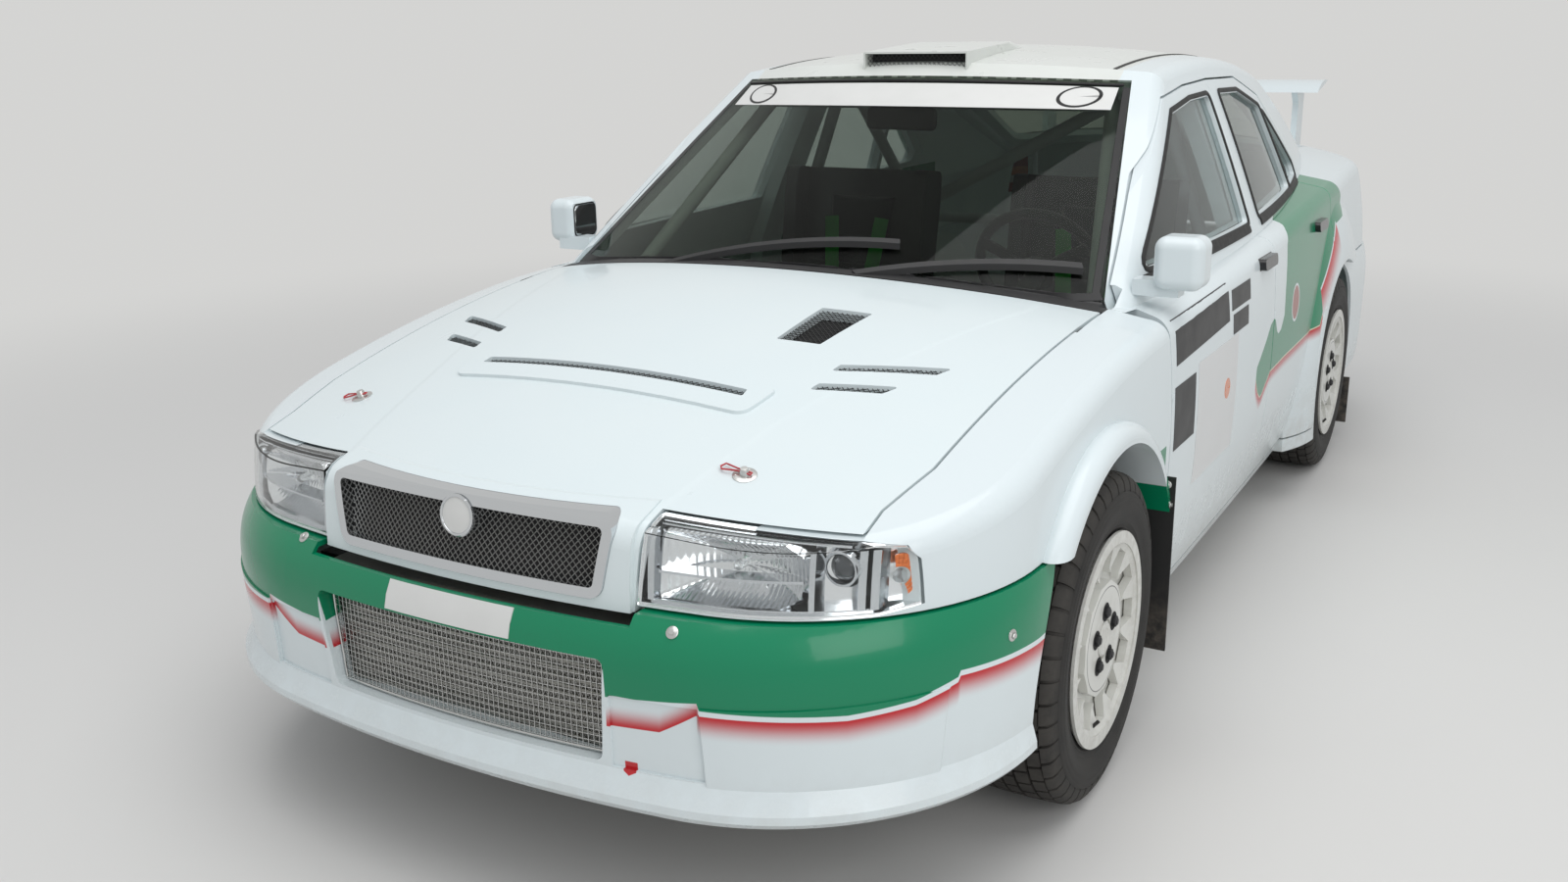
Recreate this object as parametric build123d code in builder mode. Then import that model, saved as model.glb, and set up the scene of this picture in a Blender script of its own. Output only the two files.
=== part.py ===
# Rally car: a five-door liftback saloon in gravel trim, built as separate named pieces.
# Frame: +X is the car's left, -Y its front, +Z up. The origin is on the ground, under the middle of the car.
import os
from math import radians, sin, tan

from build123d import *

os.makedirs("parts", exist_ok=True)

# Overall sizes, in millimetres
CAR_LENGTH = 4510
WHEELBASE = 2512
FRONT_OVERHANG = 900
FRONT_AXLE_Y = -CAR_LENGTH / 2 + FRONT_OVERHANG
REAR_AXLE_Y = FRONT_AXLE_Y + WHEELBASE
DOOR_HALF_WIDTH = 862
ARCH_HALF_WIDTH = 884
SILL_Z = 185
ROOF_Z = 1427

# Clearances
SHUT_GAP = 5
SEAT_GAP = 0.3

# Walls
SKIN = 25
DOOR_WALL = 70
FRAME_WALL = 40
GLASS = 5

# Wheels
TYRE_RADIUS = 328
TYRE_WIDTH = 205
TRACK_HALF = 772
ARCH_RADIUS = 386
FRONT_HOUSING_X = 486
REAR_HOUSING_X = 600

# Curved shells turn about far axes: the crown about a line along the car, the glasshouse about an upright
CROWN_AXIS_Z = -2600
BARREL_RADIUS = 9000
BARREL_Y = 80

# Plan outline of the lower body at each height
# z, half width at the middle, half width at the ends, nose y, tail y, nose corner radius, tail corner radius
BODY_LEVELS = [
    (SILL_Z, 800, 780, -2120, 2130, 420, 380),
    (300, 838, 815, -2160, 2165, 440, 400),
    (560, DOOR_HALF_WIDTH, 836, -2185, 2190, 460, 400),
    (760, 858, 825, -2165, 2185, 460, 380),
    (1000, 826, 770, -2085, 2170, 420, 340),
    (1120, 790, 730, -2040, 2160, 400, 320),
]
NOSE_SWEEP = 130
TAIL_SWEEP = 80

# Side view: bonnet, belt and boot line, then the glasshouse, as (y, z) on the centre line
BONNET_LINE = [(-2500, 590), (-1700, 868), (-1060, 965)]
BELT_LINE = [(-1060, 965), (200, 1015), (1500, 1058)]
BOOT_LINE = [(1500, 1058), (1900, 1062), (2500, 1035)]
SCREEN_FOOT = (-1400, 773)
SCREEN_TOP = (-372, 1389)
SCREEN_RADIUS = 2000
HOUSE_FRONT = (-1520, 773)
HOUSE_HEADER = (-480, 1373)
REAR_HEADER_RADIUS = 700
EDGE_RADIUS = 50
ROOF_PEAK = (250, ROOF_Z)
REAR_SCREEN_TOP = (960, 1358)
REAR_SCREEN_FOOT = (2000, 988)
GLASSHOUSE_BASE_Z = 760
# Section of the glasshouse side, as (x, z)
GLASSHOUSE_SIDE = [(838, 800), (706, 1140), (552, 1470)]

SHOULDER_Z = 890
BUMPER_TOP_Z = 590
TAIL_BUMPER_TOP_Z = 680

# Wheel arch swelling, as (x, radius) at the lip, half way and at its edge
FLARE_ROOT_X = 700
FRONT_FLARE = [(ARCH_HALF_WIDTH, 396), (878, 412), (846, 424)]
REAR_FLARE = [(ARCH_HALF_WIDTH, 400), (868, 480), (826, 580)]

# Door outlines on the skin, as (y, z), clockwise from the lower front corner
FRONT_DOOR = [
    (-925, 232), (-925, 400), (-925, 880), (-905, 925), (-300, 1300), (-100, 1322), (145, 1330), (95, 930),
    (94, 880), (85, 400), (80, 232),
]
REAR_DOOR = [
    (85, 232), (90, 400), (99, 880), (100, 930), (150, 1330), (500, 1325), (800, 1262), (1130, 1035),
    (1120, 1000), (1040, 930), (985, 800), (900, 690), (790, 570), (742, 420), (735, 232),
]
# Door hinges: where each axis stands, and the heights of the two pins on it
FRONT_HINGE = (853, -912)
REAR_HINGE = (858, 108)
HINGE_HEIGHTS = (590, 700)
HINGE_PIN_RADIUS = 3
HINGE_PIN_HALF = 20
HINGE_ARM_HALF = 6
HINGE_REACH = 90
# The room that an arm sweeps in its door, seen from above, from the pin
HINGE_POCKET = [(0, 4), (-100, 4), (-100, -100), (-38, -100), (4, -1.5)]
# The front edge of a door runs back as it goes inboard, so that it clears its post
NOSE_SLANT = -1 / 3
FRONT_WINDOW = [(-800, 955), (-270, 1262), (-80, 1285), (105, 1290), (62, 965)]
REAR_WINDOWS = [
    [(200, 968), (235, 1290), (480, 1285), (742, 1230), (805, 986)],
    [(830, 988), (767, 1222), (1052, 1035), (1045, 1002)],
]
WINDOW_CORNER = 14
PANE_INSET = 12
HANDLE_Z = 872
HANDLE_SIZE = (150, 30)
FRONT_HANDLE_Y = -10
REAR_HANDLE_Y = 800
HANDLE_CORNER = 12
HANDLE_STANDS = 16
HANDLE_ROOT = 6

# Frame behind the doors, as (y, z)
POST_DEPTH = 50
HINGE_POST = [(-965, 185), (-965, 860), (-880, 860), (-860, 185)]
CENTRE_POST = [(40, 185), (60, 930), (85, 1420), (200, 1420), (190, 930), (170, 185)]
SILL_BOX = [(-965, 185), (-965, 275), (742, 275), (742, 185)]

# Seen from above: windscreen, bonnet, roof and tailgate
SCREEN_BASE_ARC = [(-700, -935), (0, -1085), (700, -935)]
SCREEN_HEAD_ARC = [(548, -300), (0, -425), (-548, -300)]
BONNET_REAR_ARC = [(-712, -1000), (0, -1132), (712, -1000)]
BONNET_NOSE = [(690, -1800), (664, -1940), (668, -2350), (-668, -2350), (-664, -1940), (-690, -1800)]
COWL_GAP = 8
COWL_HALF_WIDTH = 712
ROOF_EDGE_X = 520
TAILGATE_FRONT_Y = 965
TAILGATE_SIDE = [(520, TAILGATE_FRONT_Y), (545, 1780), (562, 2300)]
TAILGATE_BASE_Z = 690
TAILGATE_WINDOW = [(-462, 1015), (462, 1015), (498, 1690), (-498, 1690)]

# Seen from the front, as (x, z)
BONNET_FRONT = [
    (-720, 1200), (-720, 715), (-668, 718), (-350, 737), (-338, 583), (338, 583), (350, 737), (668, 718),
    (720, 715), (720, 1200),
]
HEADLAMP = [(356, 732), (668, 712), (728, 702), (758, 664), (757, 608), (700, 597), (344, 597)]
HEADLAMP_REAR_Y = -1965
HEADLAMP_DEPTH = 110
LAMP_WALL = 4
LAMP_GAP = 0.3
GRILLE = [(-312, 738), (312, 738), (286, 600), (-286, 600)]
GRILLE_CORNER = 28
GRILLE_FRAME = 18
GRILLE_STANDS = 14
GRILLE_ROUNDEL = 37
GRILLE_ROUNDEL_Z = 700
# The bonnet's nose stands forward round the grille
NOSE_RING = [(-337, 584), (-337, 745), (337, 745), (337, 584)]
NOSE_RING_Y = -2070
NOSE_RING_STANDS = 10
TAIL_LAMP = [(575, 790), (575, 955), (900, 925), (900, 800)]
TAIL_LAMP_Y = 2010

# Bonnet vents, as plan outlines: a long slot on a low rise, a pair of short slots on each side
# and one vent on the left
LONG_SLOT = [(-303, -1767), (303, -1767), (300, -1744), (-300, -1744)]
SLOT_RISE = [(-335, -1818), (335, -1818), (352, -1708), (-352, -1708)]
SLOT_RISE_HEIGHT = 6
SLOT_RISE_CORNER = 28
SIDE_SLOTS = [
    [(398, -1606), (402, -1577), (588, -1482), (572, -1522)],
    [(396, -1687), (401, -1659), (535, -1600), (518, -1638)],
]
SQUARE_VENT = [(236, -1528), (240, -1346), (346, -1330), (326, -1516)]
SLOT_CORNER = 4

# Roof scoop, as (y, z)
SCOOP_HALF_WIDTH = 148
SCOOP_WALL = 5
SCOOP_SIDE = [(-392, 1340), (-392, 1416), (-60, 1438), (16, 1424), (16, 1340)]

# Door mirrors, as boxes of x, y and z ranges
MIRROR_HOUSING = ((786, 893), (-900, -802), (932, 1046))
MIRROR_STALK = ((740, 840), (-872, -822), (915, 950))
MIRROR_FACE = ((798, 881), (-808, -792), (944, 1034))
# The right mirror is folded back along its window
FOLDED_HOUSING = ((790, 876), (-846, -722), (932, 1046))
FOLDED_STALK = ((740, 840), (-842, -792), (915, 950))
FOLDED_FACE = ((784, 796), (-834, -734), (944, 1034))
MIRROR_CORNER = 26

# Rear wing, as (y, z)
WING_HALF_SPAN = 600
WING_NOSE = (2000, 1222)
WING_TOP = (2080, 1256)
WING_TAIL = (2205, 1262)
WING_LEG = [(2015, 1225), (2170, 1240), (2165, 1180), (2175, 1000), (2060, 1000), (2060, 1180)]
WING_LEG_X = 500
WING_LEG_WIDTH = 22

# Bumpers: z, half width at the middle, half width at the ends, nose y, tail y, nose and tail corner radius
FRONT_BUMPER = [
    (262, 866, 850, -2228, 2100, 520, 400),
    (345, 872, 856, -2234, 2100, 520, 400),
    (450, 874, 858, -2242, 2100, 520, 400),
    (BUMPER_TOP_Z - 60, 872, 856, -2240, 2100, 520, 400),
    (BUMPER_TOP_Z, 864, 844, -2205, 2100, 500, 400),
]
REAR_BUMPER = [
    (240, 862, 842, -2100, 2235, 400, 420),
    (330, 868, 850, -2100, 2250, 400, 420),
    (520, 870, 852, -2100, 2255, 400, 420),
    (TAIL_BUMPER_TOP_Z - 60, 868, 848, -2100, 2250, 400, 420),
    (TAIL_BUMPER_TOP_Z, 858, 836, -2100, 2218, 400, 400),
]
BUMPER_WALL = 10
BUMPER_RIM = 60
# The front lip, as levels of the same kind: its face, and the slope that runs up into the bumper
FRONT_LIP = [
    (262, 866, 852, -2244, 2100, 510, 400),
    (276, 876, 862, -CAR_LENGTH / 2, 2100, 510, 400),
    (290, 876, 862, -CAR_LENGTH / 2, 2100, 510, 400),
    (334, 868, 852, -2230, 2100, 520, 400),
]
BUFFER_X = (300, 330)
BUFFER_Y = (2160, 2180)
BUMPER_MOUTH = [(-318, 520), (318, 520), (300, 336), (-300, 336)]
MOUTH_CORNER = 14
DUCT_WALL = 3
# Under the grille the bumper's top edge dips, and beside the mouth a flat cover stands proud of a recess
NOSE_DIP = ((-352, 352), (-2400, -1900), (572, 700))
LAMP_COVER = [(480, 463), (796, 470), (784, 322), (484, 314)]
COVER_STANDS = 3
COVER_RECESS = [(322, 462), (476, 462), (480, 330), (318, 330)]
RECESS_DEPTH = 5

# Exhaust
EXHAUST_X = -480
EXHAUST_Z = 262
EXHAUST_RADIUS = 36
EXHAUST_ROOM = 14
SILENCER_Z = 300
SILENCER_RADIUS = 80

# Inner structure
FLOOR = (SILL_Z, 205)
BOOT_FLOOR = (400, 412)
HEEL_Y = 760
FIREWALL_Y = (-1112, -1100)
HOUSING_WALL = 6
RAIL_X = (420, 474)
RAIL_Z = (330, 430)
BEAM_Y = (-2120, -2065)
BEAM_Z = (442, 540)
REAR_BEAM_Y = (2080, 2125)
REAR_BEAM_Z = (400, 560)
TOWER_RADIUS = 62
TOWER_X = 617
TOWER_Z = (700, 790)

TUNNEL_HALF_WIDTH = 130
TUNNEL_Z = 400
INTERCOOLER_HALF = 300
INTERCOOLER_Y = (BEAM_Y[0] - 55, BEAM_Y[0] - SEAT_GAP)
INTERCOOLER_Z = (302, 558)
ENGINE = ((-300, 300), (-1900, -1240), (275, 720))
GUARD_HALF = 474
GUARD_Y = (-1955, -1480)
GUARD_Z = (186, 194)
GUARD_FOOT = 60
SUBFRAME_HALF = 380
SUBFRAME_Y = (-1440, -1300)
SUBFRAME_Z = (205, 250)
ARM_Z = (207, 235)
ARM_END_HALF = 24
AXLE_TUBE_RADIUS = 30
AXLE_DAMPER_RADIUS = 26
MUD_FLAP_X = (690, 880)
MUD_FLAP_Z = (60, 230)
FRONT_FLAP_LOW = ((795, 893), (165, 300))
FRONT_FLAP_HIGH = ((800, 893), (300, 560))
MUD_FLAP_THICK = 5
FRONT_FLAP_Y = -996.6
REAR_FLAP_Y = 1532.8

# Steering and suspension
KINGPIN_FOOT = (720, 205)
KINGPIN_HEAD = (617, 700)
KNUCKLE_INNER_X = 690
STRUT_FOOT = (622, 400)
STRUT_RADIUS = 24
SPRING_RADIUS = 38
DISC_RADIUS = 142
DISC_X = (-22, -4)
HUB_FACE_X = -34
RUNNING_GAP = 0.3
STUD_RADIUS = 9
STUD_LENGTH = 20
KNUCKLE_LIFT = 6
CALIPER_Y = (FRONT_AXLE_Y + 88, FRONT_AXLE_Y + 160)
CALIPER_Z = (268, 388)
CALIPER_BRACKET_Z = (290, 366)
KNUCKLE_HALF = 42
KNUCKLE_TOP = 440

# Wheel, as (x from the wheel's middle plane, radius)
RIM_SECTION = [(-100, 214), (-100, 190), (100, 190), (100, 214), (94, 214), (92, 199), (-92, 199), (-94, 214)]
FACE_SECTION = [
    (72, 40), (90, 40), (90, 104), (84, 140), (92, 180), (97, 190), (78, 190), (68, 150), (70, 104),
]
HUB_SECTION = [
    (HUB_FACE_X, 0), (84, 0), (84, 52), (DISC_X[1], 60), (DISC_X[1], DISC_RADIUS), (DISC_X[0], DISC_RADIUS),
    (DISC_X[0], 60), (HUB_FACE_X, 60),
]
WHEEL_WINDOWS = 12
WINDOW_PITCH = 145
WHEEL_WINDOW = (72, 66)
WINDOW_SIDE = 78
TYRE_SECTION = [(82, 199.3), (TYRE_WIDTH / 2, 262), (90, 316), (74, 325)]
TYRE_INSIDE = [(-72, 199.3), (-84, 250), (-78, 306), (0, 314), (78, 306), (84, 250), (72, 199.3)]

# Cabin
CAGE_RADIUS = 19
CAGE_BEND = 110
CAGE_HOOP_Y = 150
# Left half of the hoop as (x, z), then the tubes as (x, y, z)
CAGE_HOOP = [(650, 206), (650, 860), (490, 1325), (0, 1325)]
CAGE_LEG = [(650, -860, 206), (650, -860, 790), (495, -270, 1285), (488, 130, 1322)]
CAGE_STAY = [(465, 150, 1322), (640, 1150, 722)]
CAGE_DOOR_BAR = [(646, CAGE_HOOP_Y, 520), (646, -860, 380)]
CAGE_CROSS = [
    [(-495, -270, 1283), (495, -270, 1283)],
    [(-640, CAGE_HOOP_Y, 740), (640, CAGE_HOOP_Y, 740)],
    [(-610, CAGE_HOOP_Y, 745), (460, CAGE_HOOP_Y, 1315)],
    [(-596, 1010, 805), (596, 1010, 805)],
]
SEAT_X = 370
SEAT_HALF_WIDTH = 235
SEAT_SIDE = 40
SEAT_RAIL_X = (150, 180)
SEAT_RAIL_TOP = 284
SEAT_Y = -80
SEAT_BOLSTER = [
    (-420, 285), (-430, 360), (-330, 440), (-90, 455), (10, 640), (60, 1000), (80, 1075), (190, 1060),
    (180, 960), (95, 560), (30, 270), (-100, 250),
]
SEAT_HOLLOW = [
    (-470, 330), (-110, 292), (-30, 318), (58, 650), (140, 1000), (160, 1120), (-200, 1120), (-470, 700),
]
SEAT_RAIL_Y = (-440, -60)
DASH_HALF_WIDTH = 684
DASH_FOOT = ((-90, 90), (-980, -700), (TUNNEL_Z, 700))
DASH_SIDE = [(-1010, 830), (-880, 890), (-740, 880), (-700, 800), (-760, 690), (-1010, 690)]
STEERING_CENTRE = (370, -420, 880)
STEERING_RAKE = 24
STEERING_RADIUS = 160
STEERING_GRIP = 14
COLUMN_LENGTH = 330
WIPER_LOW = 4
WIPER_HIGH = 16
WIPER_STRIPS = [
    [(-330, -1085), (-318, -1095), (250, -1000), (244, -988)],
    [(180, -1098), (194, -1106), (640, -900), (632, -888)],
]


def save(label, part):
    """Names a finished piece and writes its file."""
    part.label = label
    export_step(part, f"parts/{label}.step")


def plan_outline(z, half, half_end, nose, tail, nose_r, tail_r):
    """Closed outline seen from above: nose arc, side arcs and tail arc, with rounded corners."""
    with BuildSketch(Plane.XY.offset(z)) as outline:
        with BuildLine():
            nose_corner = nose + NOSE_SWEEP
            tail_corner = tail - TAIL_SWEEP
            ThreePointArc((-half_end, nose_corner), (0, nose), (half_end, nose_corner))
            ThreePointArc((half_end, nose_corner), (half, 0), (half_end, tail_corner))
            ThreePointArc((half_end, tail_corner), (0, tail), (-half_end, tail_corner))
            ThreePointArc((-half_end, tail_corner), (-half, 0), (-half_end, nose_corner))
        make_face()
        fillet(outline.vertices().group_by(Axis.Y)[0], nose_r)
        fillet(outline.vertices().group_by(Axis.Y)[-1], tail_r)
    return outline.sketch


CROWN_PLANE = Plane(origin=(0, 0, CROWN_AXIS_Z), x_dir=(0, 1, 0), z_dir=(-1, 0, 0))
CROWN_AXIS = Axis((0, 0, CROWN_AXIS_Z), (0, 1, 0))


def crown_point(point, inset=0):
    """A side view point as a distance along the car and a radius from the crown's axis."""
    return (point[0], point[1] - CROWN_AXIS_Z - inset)


def inset_outline(level, inset):
    """One level of a lofted body, moved in by inset."""
    z, half, half_end, nose, tail, nose_r, tail_r = level
    half, half_end, tail, nose_r, tail_r = [value - inset for value in (half, half_end, tail, nose_r, tail_r)]
    return plan_outline(z, half, half_end, nose + inset, tail, nose_r, tail_r)


def lower_body(inset):
    """The body below the windows, with every surface but its floor moved in by inset."""
    with BuildPart() as body:
        for level in BODY_LEVELS:
            add(inset_outline(level, inset))
        loft()
        with BuildSketch(CROWN_PLANE):
            with BuildLine():
                for line in (BONNET_LINE, BELT_LINE, BOOT_LINE):
                    ThreePointArc(*[crown_point(p, inset) for p in line])
                end = crown_point(BOOT_LINE[-1], inset)
                start = crown_point(BONNET_LINE[0], inset)
                Polyline(end, (end[0], 0), (start[0], 0), start)
            make_face()
        revolve(axis=CROWN_AXIS, mode=Mode.INTERSECT)
    return body.part


def bumper_body(levels, inset):
    """A bumper's outside, as a closed body round the whole car, moved in by inset."""
    with BuildPart() as body:
        for level in levels:
            add(inset_outline(level, inset))
        loft()
    return body.part


def barrel(inset):
    """Everything inboard of the left glasshouse side."""
    centre_x = GLASSHOUSE_SIDE[0][0] - BARREL_RADIUS
    with BuildPart() as side:
        with BuildSketch(Plane(origin=(centre_x, BARREL_Y, 0), x_dir=(-1, 0, 0), z_dir=(0, 1, 0))):
            with BuildLine():
                low, middle, high = [(x - centre_x - inset, z) for x, z in GLASSHOUSE_SIDE]
                ThreePointArc(low, middle, high)
                Polyline(high, (0, high[1]), (0, low[1]), low)
            make_face()
        revolve(axis=Axis((centre_x, BARREL_Y, 0), (0, 0, 1)))
    return side.part


def inset_corner(before, corner, after, inset):
    """A corner of a clockwise outline, moved in from both of its sides."""
    normals = []
    for start, end in ((before, corner), (corner, after)):
        side = (Vector(end) - Vector(start)).normalized()
        normals.append(Vector(side.Y, -side.X))
    mitre = (normals[0] + normals[1]) * (inset / (1 + normals[0].dot(normals[1])))
    return (corner[0] + mitre.X, corner[1] + mitre.Y)


def screen_cylinder(inset):
    """Everything behind the windscreen's curve, which runs along the slope of the glass."""
    foot, top = [Vector(0, y, z) for y, z in (SCREEN_FOOT, SCREEN_TOP)]
    slope = (top - foot).normalized()
    inward = Vector(0, slope.Z, -slope.Y)
    with BuildPart() as made:
        with BuildSketch(Plane(origin=foot + inward * SCREEN_RADIUS, x_dir=(1, 0, 0), z_dir=slope)):
            Circle(SCREEN_RADIUS - inset)
        extrude(amount=CAR_LENGTH, both=True)
    return made.part


def glasshouse(inset):
    """The cabin above the belt, with every surface moved in by inset."""
    left_side = barrel(inset)
    right_side = mirror(left_side, about=Plane.YZ)
    rear_top = inset_corner(ROOF_PEAK, REAR_SCREEN_TOP, REAR_SCREEN_FOOT, inset)
    rear_base = (REAR_SCREEN_FOOT[0], GLASSHOUSE_BASE_Z)
    rear_foot = inset_corner(REAR_SCREEN_TOP, REAR_SCREEN_FOOT, rear_base, inset)
    header = crown_point(HOUSE_HEADER, inset)
    front_base = (HOUSE_FRONT[0], GLASSHOUSE_BASE_Z)
    with BuildPart() as house:
        with BuildSketch(CROWN_PLANE) as profile:
            with BuildLine():
                Line(crown_point(HOUSE_FRONT), header)
                ThreePointArc(header, crown_point(ROOF_PEAK, inset), crown_point(rear_top))
                base_corners = [
                    rear_top, rear_foot, (rear_foot[0], GLASSHOUSE_BASE_Z), front_base, HOUSE_FRONT
                ]
                Polyline(*[crown_point(p) for p in base_corners])
            make_face()
            header_corner = profile.vertices().sort_by_distance((*crown_point(rear_top), 0))[0]
            fillet(header_corner, REAR_HEADER_RADIUS - inset)
        revolve(axis=CROWN_AXIS)
        add(left_side, mode=Mode.INTERSECT)
        add(right_side, mode=Mode.INTERSECT)
        add(screen_cylinder(inset), mode=Mode.INTERSECT)
    return house.part


def grown(points, amount):
    """A closed outline of straight sides, with every side moved out by amount."""
    turning = sum(a[0] * b[1] - b[0] * a[1] for a, b in zip(points, points[1:] + points[:1]))
    inset = amount if turning > 0 else -amount
    around = zip(points[-1:] + points[:-1], points, points[1:] + points[:1])
    return [inset_corner(before, corner, after, inset) for before, corner, after in around]


def rounded_edges(solid, radius, above, beyond_x=0):
    """Rounds the top edges of a volume, leaving those near the centre line."""
    with BuildPart() as rounded:
        add(solid)
        fillet([e for e in rounded.edges() if e.center().Z > above and abs(e.center().X) >= beyond_x], radius)
    return rounded.part


def upright_prism(points, radii=0, low=0, high=2000, grow=0):
    """A plan outline carried straight up, for what is cut from above."""
    points = grown(points, grow)
    with BuildPart() as prism:
        with BuildSketch(Plane.XY.offset(low)):
            with BuildLine():
                FilletPolyline(*points, radius=radii, close=True) if radii else Polyline(*points, close=True)
            make_face()
        extrude(amount=high - low)
    return prism.part


def front_prism(points, y_low, y_high, radii=0, grow=0):
    """A front view outline of (x, z) points carried along the car."""
    points = grown(points, grow)
    with BuildPart() as prism:
        with BuildSketch(Plane.XZ.offset(-y_high)):
            with BuildLine():
                FilletPolyline(*points, radius=radii, close=True) if radii else Polyline(*points, close=True)
            make_face()
        extrude(amount=y_high - y_low)
    return prism.part


SIDE_PLANE_X = 950
SIDE_REACH = 560
# A door is cut along a slant that runs forward as it goes inboard, so that its rear edge swings clear
DOOR_SLANT = tan(radians(18))


def skin_x(z):
    """Rough half width of the body side at a height, for laying side outlines on the skin."""
    low, high = GLASSHOUSE_SIDE[0], GLASSHOUSE_SIDE[2]
    if z > SHOULDER_Z:
        return low[0] - (z - low[1]) * (low[0] - high[0]) / (high[1] - low[1])
    for below, above in zip(BODY_LEVELS, BODY_LEVELS[1:]):
        if z <= above[0]:
            return below[1] + (z - below[0]) * (above[1] - below[1]) / (above[0] - below[0])


def side_prism(points, radii=0, slant=0, grow=0):
    """A side view outline of (y, z) points on the left skin, carried inboard, along any slant given."""
    laid = [(y + slant * (SIDE_PLANE_X - skin_x(z)), z) for y, z in grown(points, grow)]
    with BuildPart() as prism:
        with BuildSketch(Plane.YZ.offset(SIDE_PLANE_X)):
            with BuildLine():
                FilletPolyline(*laid, radius=radii, close=True) if radii else Polyline(*laid, close=True)
            make_face()
        extrude(amount=SIDE_REACH, dir=(-1, -slant, 0))
    return prism.part


def block(x, y, z):
    """A box between two values on each axis."""
    with BuildPart() as made:
        with Locations(((x[0] + x[1]) / 2, (y[0] + y[1]) / 2, (z[0] + z[1]) / 2)):
            Box(x[1] - x[0], y[1] - y[0], z[1] - z[0])
    return made.part


def upright_cylinder(radius, x, y, z_low, z_high):
    """An upright cylinder between two heights."""
    with BuildPart() as made:
        with BuildSketch(Plane.XY.offset(z_low)):
            with Locations((x, y)):
                Circle(radius)
        extrude(amount=z_high - z_low)
    return made.part


def axle_cylinder(radius, y, x_low, x_high, z=TYRE_RADIUS):
    """A cylinder about a wheel's axle, between two distances from the centre line."""
    with BuildPart() as made:
        with BuildSketch(Plane.YZ.offset(x_low)):
            with Locations((y, z)):
                Circle(radius)
        extrude(amount=x_high - x_low)
    return made.part


def flare(axle_y, profile):
    """The swelling of the body side round a wheel arch, from a profile of (x, radius) points."""
    lip, middle, end = profile
    with BuildPart() as made:
        with BuildSketch(Plane(origin=(0, axle_y, TYRE_RADIUS), x_dir=(1, 0, 0), z_dir=(0, -1, 0))):
            with BuildLine():
                Polyline((FLARE_ROOT_X, 0), (lip[0], 0), lip)
                ThreePointArc(lip, middle, end)
                Polyline(end, (FLARE_ROOT_X, end[1]), (FLARE_ROOT_X, 0))
            make_face()
        revolve(axis=Axis((0, axle_y, TYRE_RADIUS), (1, 0, 0)))
        add(block((0, 1000), (-2400, 2400), (SILL_Z, 1000)), mode=Mode.INTERSECT)
    return made.part


def both_sides(part):
    """A left piece with its mirror image."""
    return [part, mirror(part, about=Plane.YZ, mode=Mode.PRIVATE)]


def combined(adds=(), cuts=(), keeps=()):
    """The sum of the first list, less the second, kept inside each of the third."""
    with BuildPart() as made:
        for piece in adds:
            add(piece)
        for piece in keeps:
            add(piece, mode=Mode.INTERSECT)
        for piece in cuts:
            add(piece, mode=Mode.SUBTRACT)
    return made.part


def arc_prism(bowed_edges, corners=(), grow=0):
    """A plan outline carried straight up, of one or two bowed edges and any straight run between them."""
    ends = [point for edge in bowed_edges for point in (edge[0], edge[2])]
    outline = grown([*ends, *corners], grow)
    with BuildPart() as prism:
        with BuildSketch():
            with BuildLine():
                for i, edge in enumerate(bowed_edges):
                    start, end = outline[2 * i], outline[2 * i + 1]
                    bow = edge[1][1] - edge[0][1]
                    ThreePointArc(start, (0, start[1] + bow), end)
                following = outline[len(ends):] + outline[:1]
                if len(bowed_edges) == 2:
                    Line(outline[1], outline[2])
                Polyline(outline[len(ends) - 1], *following)
            make_face()
        extrude(amount=2000)
    return prism.part


def tailgate_prism(grow=0):
    """The tailgate's share of the shell."""
    outline = [(-x, y) for x, y in TAILGATE_SIDE] + [(x, y) for x, y in reversed(TAILGATE_SIDE)]
    return upright_prism(outline, 0, TAILGATE_BASE_Z - grow, 1600, grow)


def cowl_space():
    """The panel between the bonnet and the windscreen."""
    return block((-COWL_HALF_WIDTH - SHUT_GAP, COWL_HALF_WIDTH + SHUT_GAP), (-1160, -925), (700, 1100))


def handle_outline(middle_y):
    """A door handle seen from the side."""
    length, height = HANDLE_SIZE
    return [
        (middle_y + sign_y * length / 2, HANDLE_Z + sign_z * height / 2)
        for sign_y, sign_z in ((-1, -1), (-1, 1), (1, 1), (1, -1))
    ]


# Master volumes: the outside of the car, the space inside its thin panels and that inside its thick walls
lower_shell = rounded_edges(lower_body(0), EDGE_RADIUS, 700)
house_shell = rounded_edges(glasshouse(0), EDGE_RADIUS, 900, 300)
outside = combined([lower_shell, house_shell])
skin_void = combined([lower_body(SKIN), glasshouse(SKIN)])
cabin_void = combined([lower_body(DOOR_WALL), glasshouse(FRAME_WALL)])
rebate_void = combined([lower_body(DOOR_WALL + SHUT_GAP), glasshouse(FRAME_WALL + SHUT_GAP)])
trim_void = combined([lower_body(DOOR_WALL + POST_DEPTH), glasshouse(FRAME_WALL + POST_DEPTH)])
front_arch = axle_cylinder(ARCH_RADIUS, FRONT_AXLE_Y, 400, 1000)
rear_arch = axle_cylinder(ARCH_RADIUS, REAR_AXLE_Y, 400, 1000)
arches = [*both_sides(front_arch), *both_sides(rear_arch)]
flares = [*both_sides(flare(FRONT_AXLE_Y, FRONT_FLARE)), *both_sides(flare(REAR_AXLE_Y, REAR_FLARE))]
walls = combined([outside, *flares], [cabin_void, *arches])
skins = combined([outside], [skin_void])

# Regions that more than one panel is cut by
windscreen_space = arc_prism([SCREEN_BASE_ARC, SCREEN_HEAD_ARC])
roof_space = block((-ROOF_EDGE_X, ROOF_EDGE_X), (-600, TAILGATE_FRONT_Y - SHUT_GAP), (1200, 1500))
wing_rear_y = FRONT_DOOR[0][0] - SHUT_GAP


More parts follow.
